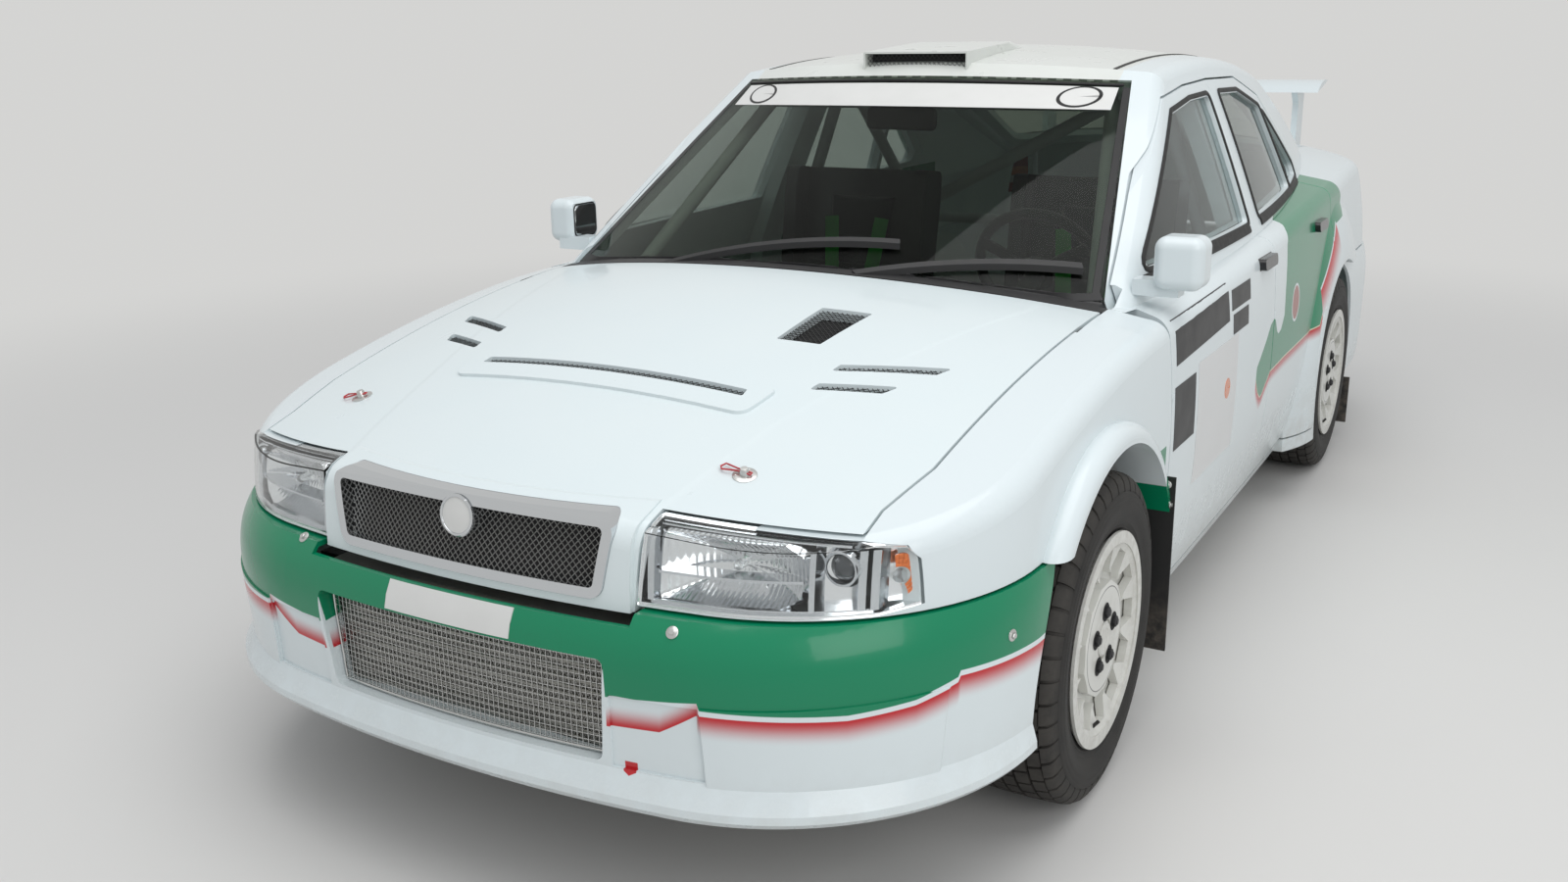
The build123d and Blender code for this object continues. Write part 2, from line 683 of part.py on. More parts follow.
def bonnet_space(grow=0):
    """The bonnet's share of the shell, seen from above and from the front."""
    front_view = front_prism(BONNET_FRONT, -2400, -800, 0, grow)
    return combined([arc_prism([BONNET_REAR_ARC], BONNET_NOSE, grow)], [], [front_view])


def lamp_space(grow=0):
    """The left headlamp's share of the nose."""
    return front_prism(HEADLAMP, -2300, HEADLAMP_REAR_Y, 0, grow)


def door_blank(outline, grow=0):
    """A door's share of the body side, outboard of the windscreen pillar."""
    return combined([side_prism(outline, 0, DOOR_SLANT, grow)], [barrel(FRAME_WALL + grow)])


def door_nose(front_y):
    """What comes off a door's front edge inboard of the skin, below the shoulder and a little above it."""
    edge = [(front_y, z) for z in (190, 300, 400, SHOULDER_Z)]
    below = side_prism([(front_y - 150, 190), *edge, (front_y - 150, SHOULDER_Z)], 0, NOSE_SLANT)
    above_x = (600, SCREEN_BASE_ARC[-1][0] + 22)
    above = block(above_x, (front_y - 150, front_y + 45), (SHOULDER_Z - 1, SHOULDER_Z + 45))
    return combined([below, above])


def hinge_arms(hinge):
    """The two arms and pins that carry a left door."""
    x, y = hinge
    arms = []
    for z in HINGE_HEIGHTS:
        arms.append(block((x - HINGE_REACH, x), (y - HINGE_PIN_RADIUS, y + HINGE_PIN_RADIUS),
                          (z - HINGE_ARM_HALF, z + HINGE_ARM_HALF)))
        arms.append(upright_cylinder(HINGE_PIN_RADIUS, x, y, z - HINGE_PIN_HALF, z + HINGE_PIN_HALF))
    return arms


def hinge_rooms(hinge):
    """The bores and swept pockets in a left door."""
    x, y = hinge
    rooms = []
    for z in HINGE_HEIGHTS:
        room_half = HINGE_PIN_HALF + SEAT_GAP
        rooms.append(upright_cylinder(HINGE_PIN_RADIUS + SEAT_GAP, x, y, z - room_half, z + room_half))
        outline = [(x + dx, y + dy) for dx, dy in HINGE_POCKET]
        rooms.append(upright_prism(outline, 0, z - HINGE_ARM_HALF - 1, z + HINGE_ARM_HALF + 1))
    return rooms


# Bonnet, with its vents, the rise round the long slot and the ring round the grille
slot_cuts = [upright_prism(outline, SLOT_CORNER, 600, 1200) for outline in (LONG_SLOT, SQUARE_VENT)]
for outline in SIDE_SLOTS:
    slot_cuts.extend(both_sides(upright_prism(outline, SLOT_CORNER, 600, 1200)))
grille_hole = front_prism(GRILLE, -2400, -1900, GRILLE_CORNER)
slot_rise = combined(
    [upright_prism(SLOT_RISE, SLOT_RISE_CORNER, 600, 1200)],
    [lower_body(SKIN / 2)],
    [lower_body(-SLOT_RISE_HEIGHT)],
)
nose_ring = combined(
    [front_prism(NOSE_RING, -2400, NOSE_RING_Y)],
    [lower_body(SKIN / 2)],
    [lower_shell.moved(Location((0, -NOSE_RING_STANDS, 0)))],
)
bonnet_skin = combined([bonnet_space()], [], [skins])
bonnet = combined([bonnet_skin, slot_rise, nose_ring], [grille_hole, *slot_cuts])
save("bonnet", bonnet)

# Grille: a bright frame round the opening, with a round boss under its top edge
with BuildPart() as grille:
    with BuildSketch(Plane.XZ.offset(1900)) as grille_ring:
        with BuildLine():
            FilletPolyline(*GRILLE, radius=GRILLE_CORNER, close=True)
        make_face()
        offset(amount=-SEAT_GAP)
        offset(amount=-GRILLE_FRAME, mode=Mode.SUBTRACT)
        with Locations((0, GRILLE_ROUNDEL_Z)):
            Circle(GRILLE_ROUNDEL)
    extrude(amount=500)
    add(lower_body(-GRILLE_STANDS), mode=Mode.INTERSECT)
    add(lower_body(SKIN), mode=Mode.SUBTRACT)
save("grille", grille.part)

# Front wings
wing_space = block((0, 1000), (-2400, wing_rear_y), (BUMPER_TOP_Z + SHUT_GAP, 1200))
wing_tail_space = block((0, 1000), (FRONT_AXLE_Y, wing_rear_y), (SILL_Z, 1200))
front_wing_left = combined(
    [wing_space, wing_tail_space],
    [
        bonnet_space(SHUT_GAP), lamp_space(LAMP_GAP), windscreen_space, cowl_space(),
        door_blank(FRONT_DOOR, SHUT_GAP),
    ],
    [walls],
)
front_wings = combined(both_sides(front_wing_left))
save("front_wings", front_wings)

# Headlamps: an open tray in the nose, closed by a curved lens
lamp_tray = combined(
    [lamp_space()], [lamp_space(-LAMP_WALL), lower_body(HEADLAMP_DEPTH)], [lower_body(GLASS + SEAT_GAP)]
)
lamp_back = combined([lamp_space()], [lower_body(HEADLAMP_DEPTH + LAMP_WALL)], [lower_body(HEADLAMP_DEPTH)])
headlamp_left = combined([lamp_tray, lamp_back])
headlamps = combined(both_sides(headlamp_left))
save("headlamps", headlamps)
lens_left = combined([lamp_space()], [lower_body(GLASS)], [lower_body(0)])
headlamp_lenses = combined(both_sides(lens_left))
save("headlamp_lenses", headlamp_lenses)

# Cowl panel, between the bonnet and the windscreen
door_edges = both_sides(door_blank(FRONT_DOOR, SHUT_GAP))
cowl_panel = combined([cowl_space()], [windscreen_space, bonnet_space(COWL_GAP), *door_edges], [skins])
save("cowl_panel", cowl_panel)

# Windscreen and roof
windscreen = combined([windscreen_space], [glasshouse(GLASS)], [glasshouse(0)])
save("windscreen", windscreen)
roof_panel = combined([roof_space], [windscreen_space], [skins])
save("roof_panel", roof_panel)

# Roof scoop, open to the front
with BuildPart() as roof_scoop:
    with BuildSketch(Plane.YZ.offset(-SCOOP_HALF_WIDTH)):
        with BuildLine():
            Polyline(*SCOOP_SIDE, close=True)
        make_face()
    extrude(amount=2 * SCOOP_HALF_WIDTH)
    fillet(roof_scoop.edges().filter_by(Axis.Y, tolerance=12).group_by(Axis.Z)[-1], 18)
    with BuildSketch(Plane.YZ.offset(-SCOOP_HALF_WIDTH + SCOOP_WALL)):
        with BuildLine():
            Polyline(*[(y - SCOOP_WALL, z - SCOOP_WALL) for y, z in SCOOP_SIDE], close=True)
        make_face()
    extrude(amount=2 * (SCOOP_HALF_WIDTH - SCOOP_WALL), mode=Mode.SUBTRACT)
    add(outside, mode=Mode.SUBTRACT)
save("roof_scoop", roof_scoop.part)


# Doors with their glass and handles
front_window_cut = side_prism(FRONT_WINDOW, WINDOW_CORNER)
rear_window_cuts = [side_prism(window, WINDOW_CORNER) for window in REAR_WINDOWS]
front_cuts = [front_window_cut, door_nose(FRONT_DOOR[0][0]), *hinge_rooms(FRONT_HINGE)]
rear_cuts = [*rear_window_cuts, door_nose(REAR_DOOR[0][0]), *hinge_rooms(REAR_HINGE)]
front_door_left = combined([door_blank(FRONT_DOOR)], front_cuts, [walls])
rear_door_left = combined([door_blank(REAR_DOOR)], rear_cuts, [walls])
handle_skin = combined([lower_body(-HANDLE_STANDS)], [lower_body(HANDLE_ROOT)])
front_handle = combined([side_prism(handle_outline(FRONT_HANDLE_Y), HANDLE_CORNER)], [], [handle_skin])
rear_handle = combined([side_prism(handle_outline(REAR_HANDLE_Y), HANDLE_CORNER)], [], [handle_skin])
pane = combined([glasshouse(PANE_INSET)], [glasshouse(PANE_INSET + GLASS)])
front_glass_left = combined([front_window_cut], [], [pane])
rear_glass_left = combined(rear_window_cuts, [], [pane])
for name, panel in (
    ("front_door", combined([front_door_left, front_handle])),
    ("rear_door", combined([rear_door_left, rear_handle])),
    ("front_door_glass", front_glass_left),
    ("rear_door_glass", rear_glass_left),
):
    save(f"{name}_left", panel)
    save(f"{name}_right", mirror(panel, about=Plane.YZ))



# Mirrors on the front doors
def door_mirror(housing, stalk, face):
    """A left mirror: a rounded housing with a hollow for its glass, on a short stalk."""
    shell = rounded_edges(block(*housing), MIRROR_CORNER, 0)
    return combined([shell, block(*stalk)], [outside, block(*face)])


save("mirror_left", door_mirror(MIRROR_HOUSING, MIRROR_STALK, MIRROR_FACE))
save("mirror_right", mirror(door_mirror(FOLDED_HOUSING, FOLDED_STALK, FOLDED_FACE), about=Plane.YZ))

# Side frames: sills, posts, roof rails and rear quarters, round the door openings
door_spaces = [
    combined([door_blank(outline, SHUT_GAP)], [rebate_void]) for outline in (FRONT_DOOR, REAR_DOOR)
]
# The posts also clear the ledge inside the doors, where the cabin widens at the foot of the glasshouse
ledge_x, ledge_z = GLASSHOUSE_SIDE[0]
ledge_room = block(
    (ledge_x - 58, ledge_x - 28), (wing_rear_y, 1000), (ledge_z - SHUT_GAP, ledge_z + SHUT_GAP)
)
tailgate_space = tailgate_prism()
tail_lamp_space = front_prism(TAIL_LAMP, TAIL_LAMP_Y, 2400, 12)
post_strips = [side_prism(outline) for outline in (HINGE_POST, CENTRE_POST, SILL_BOX)]
posts = combined(post_strips, [trim_void], [cabin_void])
quarter_space = block((0, 1000), (wing_rear_y, 2400), (SILL_Z, 1500))
bumper_band = block((0, 1000), (REAR_AXLE_Y, 2400), (0, TAIL_BUMPER_TOP_Z + SHUT_GAP))
side_frame_left = combined(
    [combined([quarter_space], [], [walls]), posts],
    [
        *door_spaces, ledge_room, windscreen_space, cowl_space(), roof_space, tailgate_prism(SHUT_GAP),
        tail_lamp_space, bumper_band, *arches,
    ],
)
hinged_frame_left = combined([side_frame_left, *hinge_arms(FRONT_HINGE), *hinge_arms(REAR_HINGE)])
side_frames = combined(both_sides(hinged_frame_left))
save("side_frames", side_frames)

# Tailgate, its glass and the wing that stands on it
tailgate = combined([tailgate_space], [upright_prism(TAILGATE_WINDOW, 40, 900, 1500)], [skins])
save("tailgate", tailgate)
tailgate_glass = combined(
    [upright_prism(TAILGATE_WINDOW, 40, 900, 1500)], [glasshouse(GLASS)], [glasshouse(0)]
)
save("tailgate_glass", tailgate_glass)
with BuildPart() as rear_wing:
    with BuildSketch(Plane.YZ.offset(-WING_HALF_SPAN)):
        with BuildLine():
            ThreePointArc(WING_NOSE, WING_TOP, WING_TAIL)
            Line(WING_TAIL, WING_NOSE)
        make_face()
    extrude(amount=2 * WING_HALF_SPAN)
    with BuildSketch(Plane.YZ.offset(WING_LEG_X)):
        with BuildLine():
            Polyline(*WING_LEG, close=True)
        make_face()
    extrude(amount=WING_LEG_WIDTH)
    with BuildSketch(Plane.YZ.offset(-WING_LEG_X - WING_LEG_WIDTH)):
        with BuildLine():
            Polyline(*WING_LEG, close=True)
        make_face()
    extrude(amount=WING_LEG_WIDTH)
    add(outside, mode=Mode.SUBTRACT)
save("rear_wing", rear_wing.part)

# Tail lamps
tail_lamp_left = combined([tail_lamp_space], [tailgate_prism(SHUT_GAP)], [walls])
tail_lamps = combined(both_sides(tail_lamp_left))
save("tail_lamps", tail_lamps)

# Bumpers: shells with a top rim, open towards the body
bumper_inner = lower_body(BUMPER_RIM)
below_front_top = block((-1000, 1000), (-2400, 0), (0, BUMPER_TOP_Z - BUMPER_WALL))
front_hollow = combined([bumper_body(FRONT_BUMPER, BUMPER_WALL)], [], [below_front_top])
with BuildPart() as lip:
    for lower_level, upper_level in zip(FRONT_LIP, FRONT_LIP[1:]):
        add(plan_outline(*lower_level))
        add(plan_outline(*upper_level))
        loft(ruled=True)
behind_front_axle = block((-1000, 1000), (FRONT_AXLE_Y, 2400), (0, 1000))
front_face = bumper_body(FRONT_BUMPER, 0)
cover_left = combined([front_prism(LAMP_COVER, -2400, -1850)], [], [bumper_body(FRONT_BUMPER, -COVER_STANDS)])
recess_left = combined([front_prism(COVER_RECESS, -2400, -1850)], [bumper_body(FRONT_BUMPER, RECESS_DEPTH)])
mouth_duct = combined(
    [front_prism(BUMPER_MOUTH, -2400, INTERCOOLER_Y[0] - SHUT_GAP, MOUTH_CORNER, DUCT_WALL)], [], [front_face]
)
front_cover = combined(
    [front_face, lip.part, *both_sides(cover_left)],
    [
        front_hollow, bumper_inner, behind_front_axle, *arches[:2], *both_sides(recess_left),
        block(*NOSE_DIP),
    ],
)
mouth = front_prism(BUMPER_MOUTH, -2400, -1900, MOUTH_CORNER)
front_bumper = combined([front_cover, mouth_duct], [mouth])
save("front_bumper", front_bumper)

below_rear_top = block((-1000, 1000), (0, 2400), (0, TAIL_BUMPER_TOP_Z - BUMPER_WALL))
rear_hollow = combined([bumper_body(REAR_BUMPER, BUMPER_WALL)], [], [below_rear_top])
before_rear_axle = block((-1000, 1000), (-2400, REAR_AXLE_Y), (0, 1000))
with BuildPart() as pipe_hole:
    with BuildSketch(Plane.XZ.offset(-2400)):
        with Locations((EXHAUST_X, EXHAUST_Z)):
            Circle(EXHAUST_RADIUS + EXHAUST_ROOM)
    extrude(amount=600)
# Two rubber buffers on the bumper carry the closed tailgate
tailgate_buffer = block(BUFFER_X, BUFFER_Y, (TAIL_BUMPER_TOP_Z - BUMPER_WALL, TAILGATE_BASE_Z - SEAT_GAP))
rear_cover = combined(
    [bumper_body(REAR_BUMPER, 0)], [rear_hollow, bumper_inner, before_rear_axle, *arches[2:], pipe_hole.part]
)
rear_bumper = combined([rear_cover, *both_sides(tailgate_buffer)])
save("rear_bumper", rear_bumper)

# Inner structure: floor, wheel housings, rails and beams


def housing(axle_y, inner_x):
    """A left wheel housing: a half drum over the wheel, with its inner wall."""
    drum = axle_cylinder(ARCH_RADIUS + HOUSING_WALL, axle_y, inner_x - HOUSING_WALL, 1000)
    room = axle_cylinder(ARCH_RADIUS, axle_y, inner_x, 1001)
    return combined([drum], [room, block((0, 1001), (-2400, 2400), (-200, FLOOR[0]))], [cabin_void])


def side_box(x, y, z):
    """A box on the left and its mirror image."""
    return both_sides(block(x, y, z))


front_housing = housing(FRONT_AXLE_Y, FRONT_HOUSING_X)
rear_housing = housing(REAR_AXLE_Y, REAR_HOUSING_X)
tower = upright_cylinder(TOWER_RADIUS, TOWER_X, FRONT_AXLE_Y, *TOWER_Z)
# A rubber buffer on each tower carries the closed bonnet
bonnet_buffer = combined(
    [upright_cylinder(12, TOWER_X, FRONT_AXLE_Y, TOWER_Z[1], 1000)], [], [lower_body(SKIN + SEAT_GAP)]
)
front_wheel_room = axle_cylinder(ARCH_RADIUS, FRONT_AXLE_Y, FRONT_HOUSING_X, 1000)
rear_wheel_room = axle_cylinder(ARCH_RADIUS, REAR_AXLE_Y, REAR_HOUSING_X, 1000)
wheel_rooms = [*both_sides(front_wheel_room), *both_sides(rear_wheel_room)]
tunnel_room_half = TUNNEL_HALF_WIDTH - HOUSING_WALL
tunnel_room_z = (FLOOR[0] - 1, TUNNEL_Z - HOUSING_WALL)
tunnel_room = block((-tunnel_room_half, tunnel_room_half), (FIREWALL_Y[0] - 1, HEEL_Y + 1), tunnel_room_z)
# Windows in the housings' inner walls, for the lower arms and the rear axle
arm_window_y = (SUBFRAME_Y[0] - 20, SUBFRAME_Y[1] + 20)
arm_windows = side_box((FRONT_HOUSING_X - 20, FRONT_HOUSING_X + 10), arm_window_y, (0, SUBFRAME_Z[1] + 10))
axle_window_y = (REAR_AXLE_Y - 65, REAR_AXLE_Y + 65)
axle_windows = side_box((REAR_HOUSING_X - 20, REAR_HOUSING_X + 10), axle_window_y, (0, BOOT_FLOOR[0]))
# The kingpin line runs from the lower arm's ball joint to the middle of the tower
kingpin_foot, kingpin_head = [Vector(x, FRONT_AXLE_Y, z) for x, z in (KINGPIN_FOOT, KINGPIN_HEAD)]
kingpin_line = kingpin_head - kingpin_foot


def kingpin_stud(radius, from_z, to_z):
    """A round stud along the left kingpin line, between two heights."""
    rise = kingpin_line.Z
    with BuildPart() as stud:
        with BuildSketch(Plane(origin=kingpin_foot + kingpin_line * ((from_z - kingpin_foot.Z) / rise),
                               z_dir=kingpin_line)):
            Circle(radius)
        extrude(amount=kingpin_line.length * (to_z - from_z) / rise)
    return stud.part


kingpin_stud_room = kingpin_stud(STUD_RADIUS + SEAT_GAP, TOWER_Z[0] - 20, TOWER_Z[0] + STUD_LENGTH + 1)
floor_plates = combined(
    [
        block((-1000, 1000), (FIREWALL_Y[0], HEEL_Y), FLOOR),
        block((-1000, 1000), (HEEL_Y - 12, HEEL_Y), (FLOOR[0], BOOT_FLOOR[1])),
        block((-1000, 1000), (HEEL_Y, REAR_BEAM_Y[1]), BOOT_FLOOR),
        block((-760, 760), FIREWALL_Y, (FLOOR[0], 1000)),
        block((-TUNNEL_HALF_WIDTH, TUNNEL_HALF_WIDTH), (FIREWALL_Y[1], HEEL_Y), (FLOOR[0], TUNNEL_Z)),
    ],
    [*wheel_rooms, *both_sides(posts)],
    [cabin_void],
)
floor_pan = combined(
    [
        floor_plates,
        *both_sides(combined([front_housing], [posts])),
        *both_sides(combined([rear_housing], [posts])),
        *both_sides(tower),
        *both_sides(bonnet_buffer),
        *side_box(RAIL_X, (BEAM_Y[1], FIREWALL_Y[0]), RAIL_Z),
        *side_box(RAIL_X, BEAM_Y, (RAIL_Z[0], BEAM_Z[1])),
    ],
    [tunnel_room, *arm_windows, *axle_windows, *both_sides(kingpin_stud_room)],
)
save("floor_pan", floor_pan)

front_beam = combined(
    [
        block((-640, 640), BEAM_Y, BEAM_Z),
        *side_box((380, 520), (-2300, BEAM_Y[1]), (BEAM_Z[0] + 10, BEAM_Z[1] - 10)),
    ],
    [floor_pan],
    [bumper_body(FRONT_BUMPER, BUMPER_WALL)],
)
save("front_beam", front_beam)
rear_beam = combined(
    [
        block((-620, 620), REAR_BEAM_Y, REAR_BEAM_Z),
        block(
            (-600, 600), (REAR_BEAM_Y[1] - 12, REAR_BEAM_Y[1]), (REAR_BEAM_Z[0], TAILGATE_BASE_Z - SHUT_GAP)
        ),
        *side_box((380, 520), (REAR_BEAM_Y[0], 2300), (REAR_BEAM_Z[0] + 20, REAR_BEAM_Z[1] - 20)),
    ],
    [floor_pan, rear_bumper],
    [bumper_body(REAR_BUMPER, BUMPER_WALL)],
)
save("rear_beam", rear_beam)

# Intercooler in the bumper's mouth
with BuildPart() as intercooler:
    add(block((-INTERCOOLER_HALF, INTERCOOLER_HALF), INTERCOOLER_Y, INTERCOOLER_Z))
    for side in (-1, 1):
        with Locations((side * (INTERCOOLER_HALF + 12), sum(INTERCOOLER_Y) / 2, sum(INTERCOOLER_Z) / 2)):
            Box(40, INTERCOOLER_Y[1] - INTERCOOLER_Y[0], INTERCOOLER_Z[1] - INTERCOOLER_Z[0])
    fillet(intercooler.edges().filter_by(Axis.Z).group_by(Axis.X)[-1], 12)
    fillet(intercooler.edges().filter_by(Axis.Z).group_by(Axis.X)[0], 12)
save("intercooler", intercooler.part)

# Engine and gearbox as one plain block on two mounts
engine_mounts = side_box((ENGINE[0][1], RAIL_X[0]), (-1560, -1480), (350, 420))
engine_block = combined([block(*ENGINE), *engine_mounts])
save("engine_block", engine_block)

# Sump guard: a ribbed plate under the engine, on four feet
guard_feet = [
    foot
    for y in (GUARD_Y[0], GUARD_Y[1] - GUARD_FOOT)
    for foot in side_box(RAIL_X, (y, y + GUARD_FOOT), (GUARD_Z[1], RAIL_Z[0]))
]
sump_guard = combined([block((-GUARD_HALF, GUARD_HALF), GUARD_Y, GUARD_Z), *guard_feet])
save("sump_guard", sump_guard)

# Front subframe with its lower arms and their ball joint studs
with BuildPart() as lower_arm:
    with BuildSketch(Plane.XY.offset(ARM_Z[0])):
        with BuildLine():
            Polyline(
                (SUBFRAME_HALF - 20, SUBFRAME_Y[0]),
                (KINGPIN_FOOT[0] - 20, FRONT_AXLE_Y - ARM_END_HALF),
                (KINGPIN_FOOT[0] + 4, FRONT_AXLE_Y - ARM_END_HALF),
                (KINGPIN_FOOT[0] + 4, FRONT_AXLE_Y + ARM_END_HALF),
                (KINGPIN_FOOT[0] - 20, FRONT_AXLE_Y + ARM_END_HALF),
                (SUBFRAME_HALF - 20, SUBFRAME_Y[1]),
                close=True,
            )
        make_face()
    extrude(amount=ARM_Z[1] - ARM_Z[0])
subframe_posts = side_box((ENGINE[0][1] + 20, SUBFRAME_HALF), SUBFRAME_Y, (SUBFRAME_Z[1], RAIL_Z[0]))
subframe_rails = side_box((SUBFRAME_HALF, RAIL_X[0] + 30), SUBFRAME_Y, (RAIL_Z[0] - 30, RAIL_Z[0]))
ball_stud = kingpin_stud(STUD_RADIUS, ARM_Z[0] + 10, ARM_Z[1] + KNUCKLE_LIFT + STUD_LENGTH)
front_subframe = combined(
    [
        block((-SUBFRAME_HALF, SUBFRAME_HALF), SUBFRAME_Y, SUBFRAME_Z), *subframe_posts, *subframe_rails,
        *both_sides(lower_arm.part), *both_sides(ball_stud),
    ]
)
save("front_subframe", front_subframe)

# Rear beam axle with its hub carriers, trailing arms and dampers
with BuildPart() as axle_tube:
    with BuildSketch(Plane.YZ.offset(-REAR_HOUSING_X)):
        with Locations((REAR_AXLE_Y, TYRE_RADIUS - 20)):
            Circle(AXLE_TUBE_RADIUS)
    extrude(amount=2 * REAR_HOUSING_X)
carrier_x = (REAR_HOUSING_X - 12, TRACK_HALF + HUB_FACE_X - RUNNING_GAP)
carriers = side_box(carrier_x, (REAR_AXLE_Y - 55, REAR_AXLE_Y + 55), (250, 400))
trailing_arms = side_box((REAR_HOUSING_X - 90, REAR_HOUSING_X - 40), (HEEL_Y, REAR_AXLE_Y), (270, 330))
damper_top = TYRE_RADIUS + ARCH_RADIUS - RUNNING_GAP - 3
damper = upright_cylinder(AXLE_DAMPER_RADIUS, REAR_HOUSING_X + 30, REAR_AXLE_Y, TYRE_RADIUS, damper_top)
rear_axle = combined([axle_tube.part, *carriers, *trailing_arms, *both_sides(damper)])
save("rear_axle", rear_axle)

# Exhaust: silencer, hangers and tail pipe
with BuildPart() as exhaust:
    with BuildSketch(Plane.XZ.offset(-1980)):
        with Locations((EXHAUST_X + 60, SILENCER_Z)):
            Ellipse(SILENCER_RADIUS * 1.4, SILENCER_RADIUS)
    extrude(amount=380)
    with BuildSketch(Plane.XZ.offset(-CAR_LENGTH / 2 + 8)):
        with Locations((EXHAUST_X, EXHAUST_Z)):
            Circle(EXHAUST_RADIUS)
    extrude(amount=260 + CAR_LENGTH / 2 - 8 - 2240)
    with BuildSketch(Plane.XZ.offset(-CAR_LENGTH / 2 + 8)):
        with Locations((EXHAUST_X, EXHAUST_Z)):
            Circle(EXHAUST_RADIUS - 3)
    extrude(amount=120, mode=Mode.SUBTRACT)
hanger_z = (SILENCER_Z + SILENCER_RADIUS - 8, BOOT_FLOOR[0])
hangers = [block((EXHAUST_X + 50, EXHAUST_X + 70), (y - 10, y + 10), hanger_z) for y in (1640, 1940)]
save("exhaust", combined([exhaust.part, *hangers]))

# Mud flaps behind the wheels
front_flap_y = (FRONT_FLAP_Y - MUD_FLAP_THICK, FRONT_FLAP_Y)
front_flap = combined([block(x, front_flap_y, z) for x, z in (FRONT_FLAP_LOW, FRONT_FLAP_HIGH)])
rear_flap = block(MUD_FLAP_X, (REAR_FLAP_Y - MUD_FLAP_THICK, REAR_FLAP_Y), MUD_FLAP_Z)
mud_flaps = combined(
    [*both_sides(front_flap), *both_sides(rear_flap)], [front_wings, rear_bumper, side_frames, floor_pan]
)
save("mud_flaps", mud_flaps)


# Roll cage
def tube(path_points, bends, radius=CAGE_RADIUS):
    """A round tube along straight runs joined by bends."""
    with BuildPart() as made:
        with BuildLine() as path:
            FilletPolyline(*path_points, radius=bends) if bends else Line(*path_points)
        with BuildSketch(Plane(path.line @ 0, z_dir=path.line % 0)):
            Circle(radius)
        sweep()
    return made.part


cage_half = combined(
    [
        tube([(x, CAGE_HOOP_Y, z) for x, z in CAGE_HOOP], CAGE_BEND),
        tube(CAGE_LEG, CAGE_BEND),
        tube(CAGE_STAY, 0),
        tube(CAGE_DOOR_BAR, 0),
    ]
)
cross_tubes = [tube([low, high], 0) for low, high in CAGE_CROSS]
rear_drum = axle_cylinder(ARCH_RADIUS + HOUSING_WALL, REAR_AXLE_Y, REAR_HOUSING_X - HOUSING_WALL, 1000)
roll_cage = combined([*both_sides(cage_half), *cross_tubes], both_sides(rear_drum))
save("roll_cage", roll_cage)


# Bucket seats: a bent centre between two bolsters, on two rails
def seat_outline(points):
    """A seat outline of (y, z) points at the seat's place in the cabin."""
    return [(y + SEAT_Y, z) for y, z in points]


def bucket_seat(x):
    """A one-piece bucket seat, centred on x."""
    with BuildPart() as seat:
        with BuildSketch(Plane.YZ.offset(x - SEAT_HALF_WIDTH)):
            with BuildLine():
                FilletPolyline(*seat_outline(SEAT_BOLSTER), radius=22, close=True)
            make_face()
        extrude(amount=2 * SEAT_HALF_WIDTH)
        with BuildSketch(Plane.YZ.offset(x - SEAT_HALF_WIDTH + SEAT_SIDE)):
            with BuildLine():
                FilletPolyline(*seat_outline(SEAT_HOLLOW), radius=28, close=True)
            make_face()
        extrude(amount=2 * (SEAT_HALF_WIDTH - SEAT_SIDE), mode=Mode.SUBTRACT)
    inner, outer = SEAT_RAIL_X
    rails = [
        block((x + low, x + high), (SEAT_RAIL_Y[0], SEAT_RAIL_Y[1]), (FLOOR[1], SEAT_RAIL_TOP))
        for low, high in ((inner, outer), (-outer, -inner))
    ]
    return combined([seat.part, *rails])


save("driver_seat", bucket_seat(SEAT_X))
save("codriver_seat", bucket_seat(-SEAT_X))

# Dashboard across the cabin, with a room for each cage leg
with BuildPart() as dash_blank:
    with BuildSketch(Plane.YZ.offset(-DASH_HALF_WIDTH)):
        with BuildLine():
            FilletPolyline(*DASH_SIDE, radius=22, close=True)
        make_face()
    extrude(amount=2 * DASH_HALF_WIDTH)
cage_rooms = both_sides(tube(CAGE_LEG, CAGE_BEND, CAGE_RADIUS + SHUT_GAP))
dashboard = combined([dash_blank.part, block(*DASH_FOOT)], cage_rooms)
save("dashboard", dashboard)

# Steering wheel and column, on the raked axis
STEERING_AXIS = Vector(0, sin(radians(90 - STEERING_RAKE)), sin(radians(STEERING_RAKE)))
steering_plane = Plane(origin=STEERING_CENTRE, x_dir=(1, 0, 0), z_dir=STEERING_AXIS)
with BuildPart() as steering_wheel:
    with BuildSketch(steering_plane.rotated((90, 0, 0))):
        with Locations((STEERING_RADIUS, 0)):
            Circle(STEERING_GRIP)
    revolve(axis=Axis(steering_plane.origin, steering_plane.z_dir))
    with BuildSketch(steering_plane.offset(-30)):
        Circle(46)
    extrude(amount=16)
    with BuildSketch(steering_plane.offset(-20)):
        for angle in (90, 210, 330):
            with Locations(Rotation(0, 0, angle)):
                with Locations((STEERING_RADIUS / 2, 0)):
                    Rectangle(STEERING_RADIUS, 30)
    extrude(amount=8)
save("steering_wheel", steering_wheel.part)
with BuildPart() as steering_column:
    with BuildSketch(steering_plane.offset(-30 - RUNNING_GAP)):
        Circle(26)
    extrude(amount=-COLUMN_LENGTH)
    add(dashboard, mode=Mode.SUBTRACT)
save("steering_column", combined([steering_column.part.solids().sort_by(Axis.Y)[-1]]))

# Wipers, lying on the glass
wiper_skin = combined([glasshouse(-WIPER_HIGH)], [glasshouse(-WIPER_LOW)])
wipers = combined(
    [upright_prism(strip, 0, 700, 1400) for strip in WIPER_STRIPS], [cowl_panel, windscreen], [wiper_skin]
)
save("wipers", wipers)

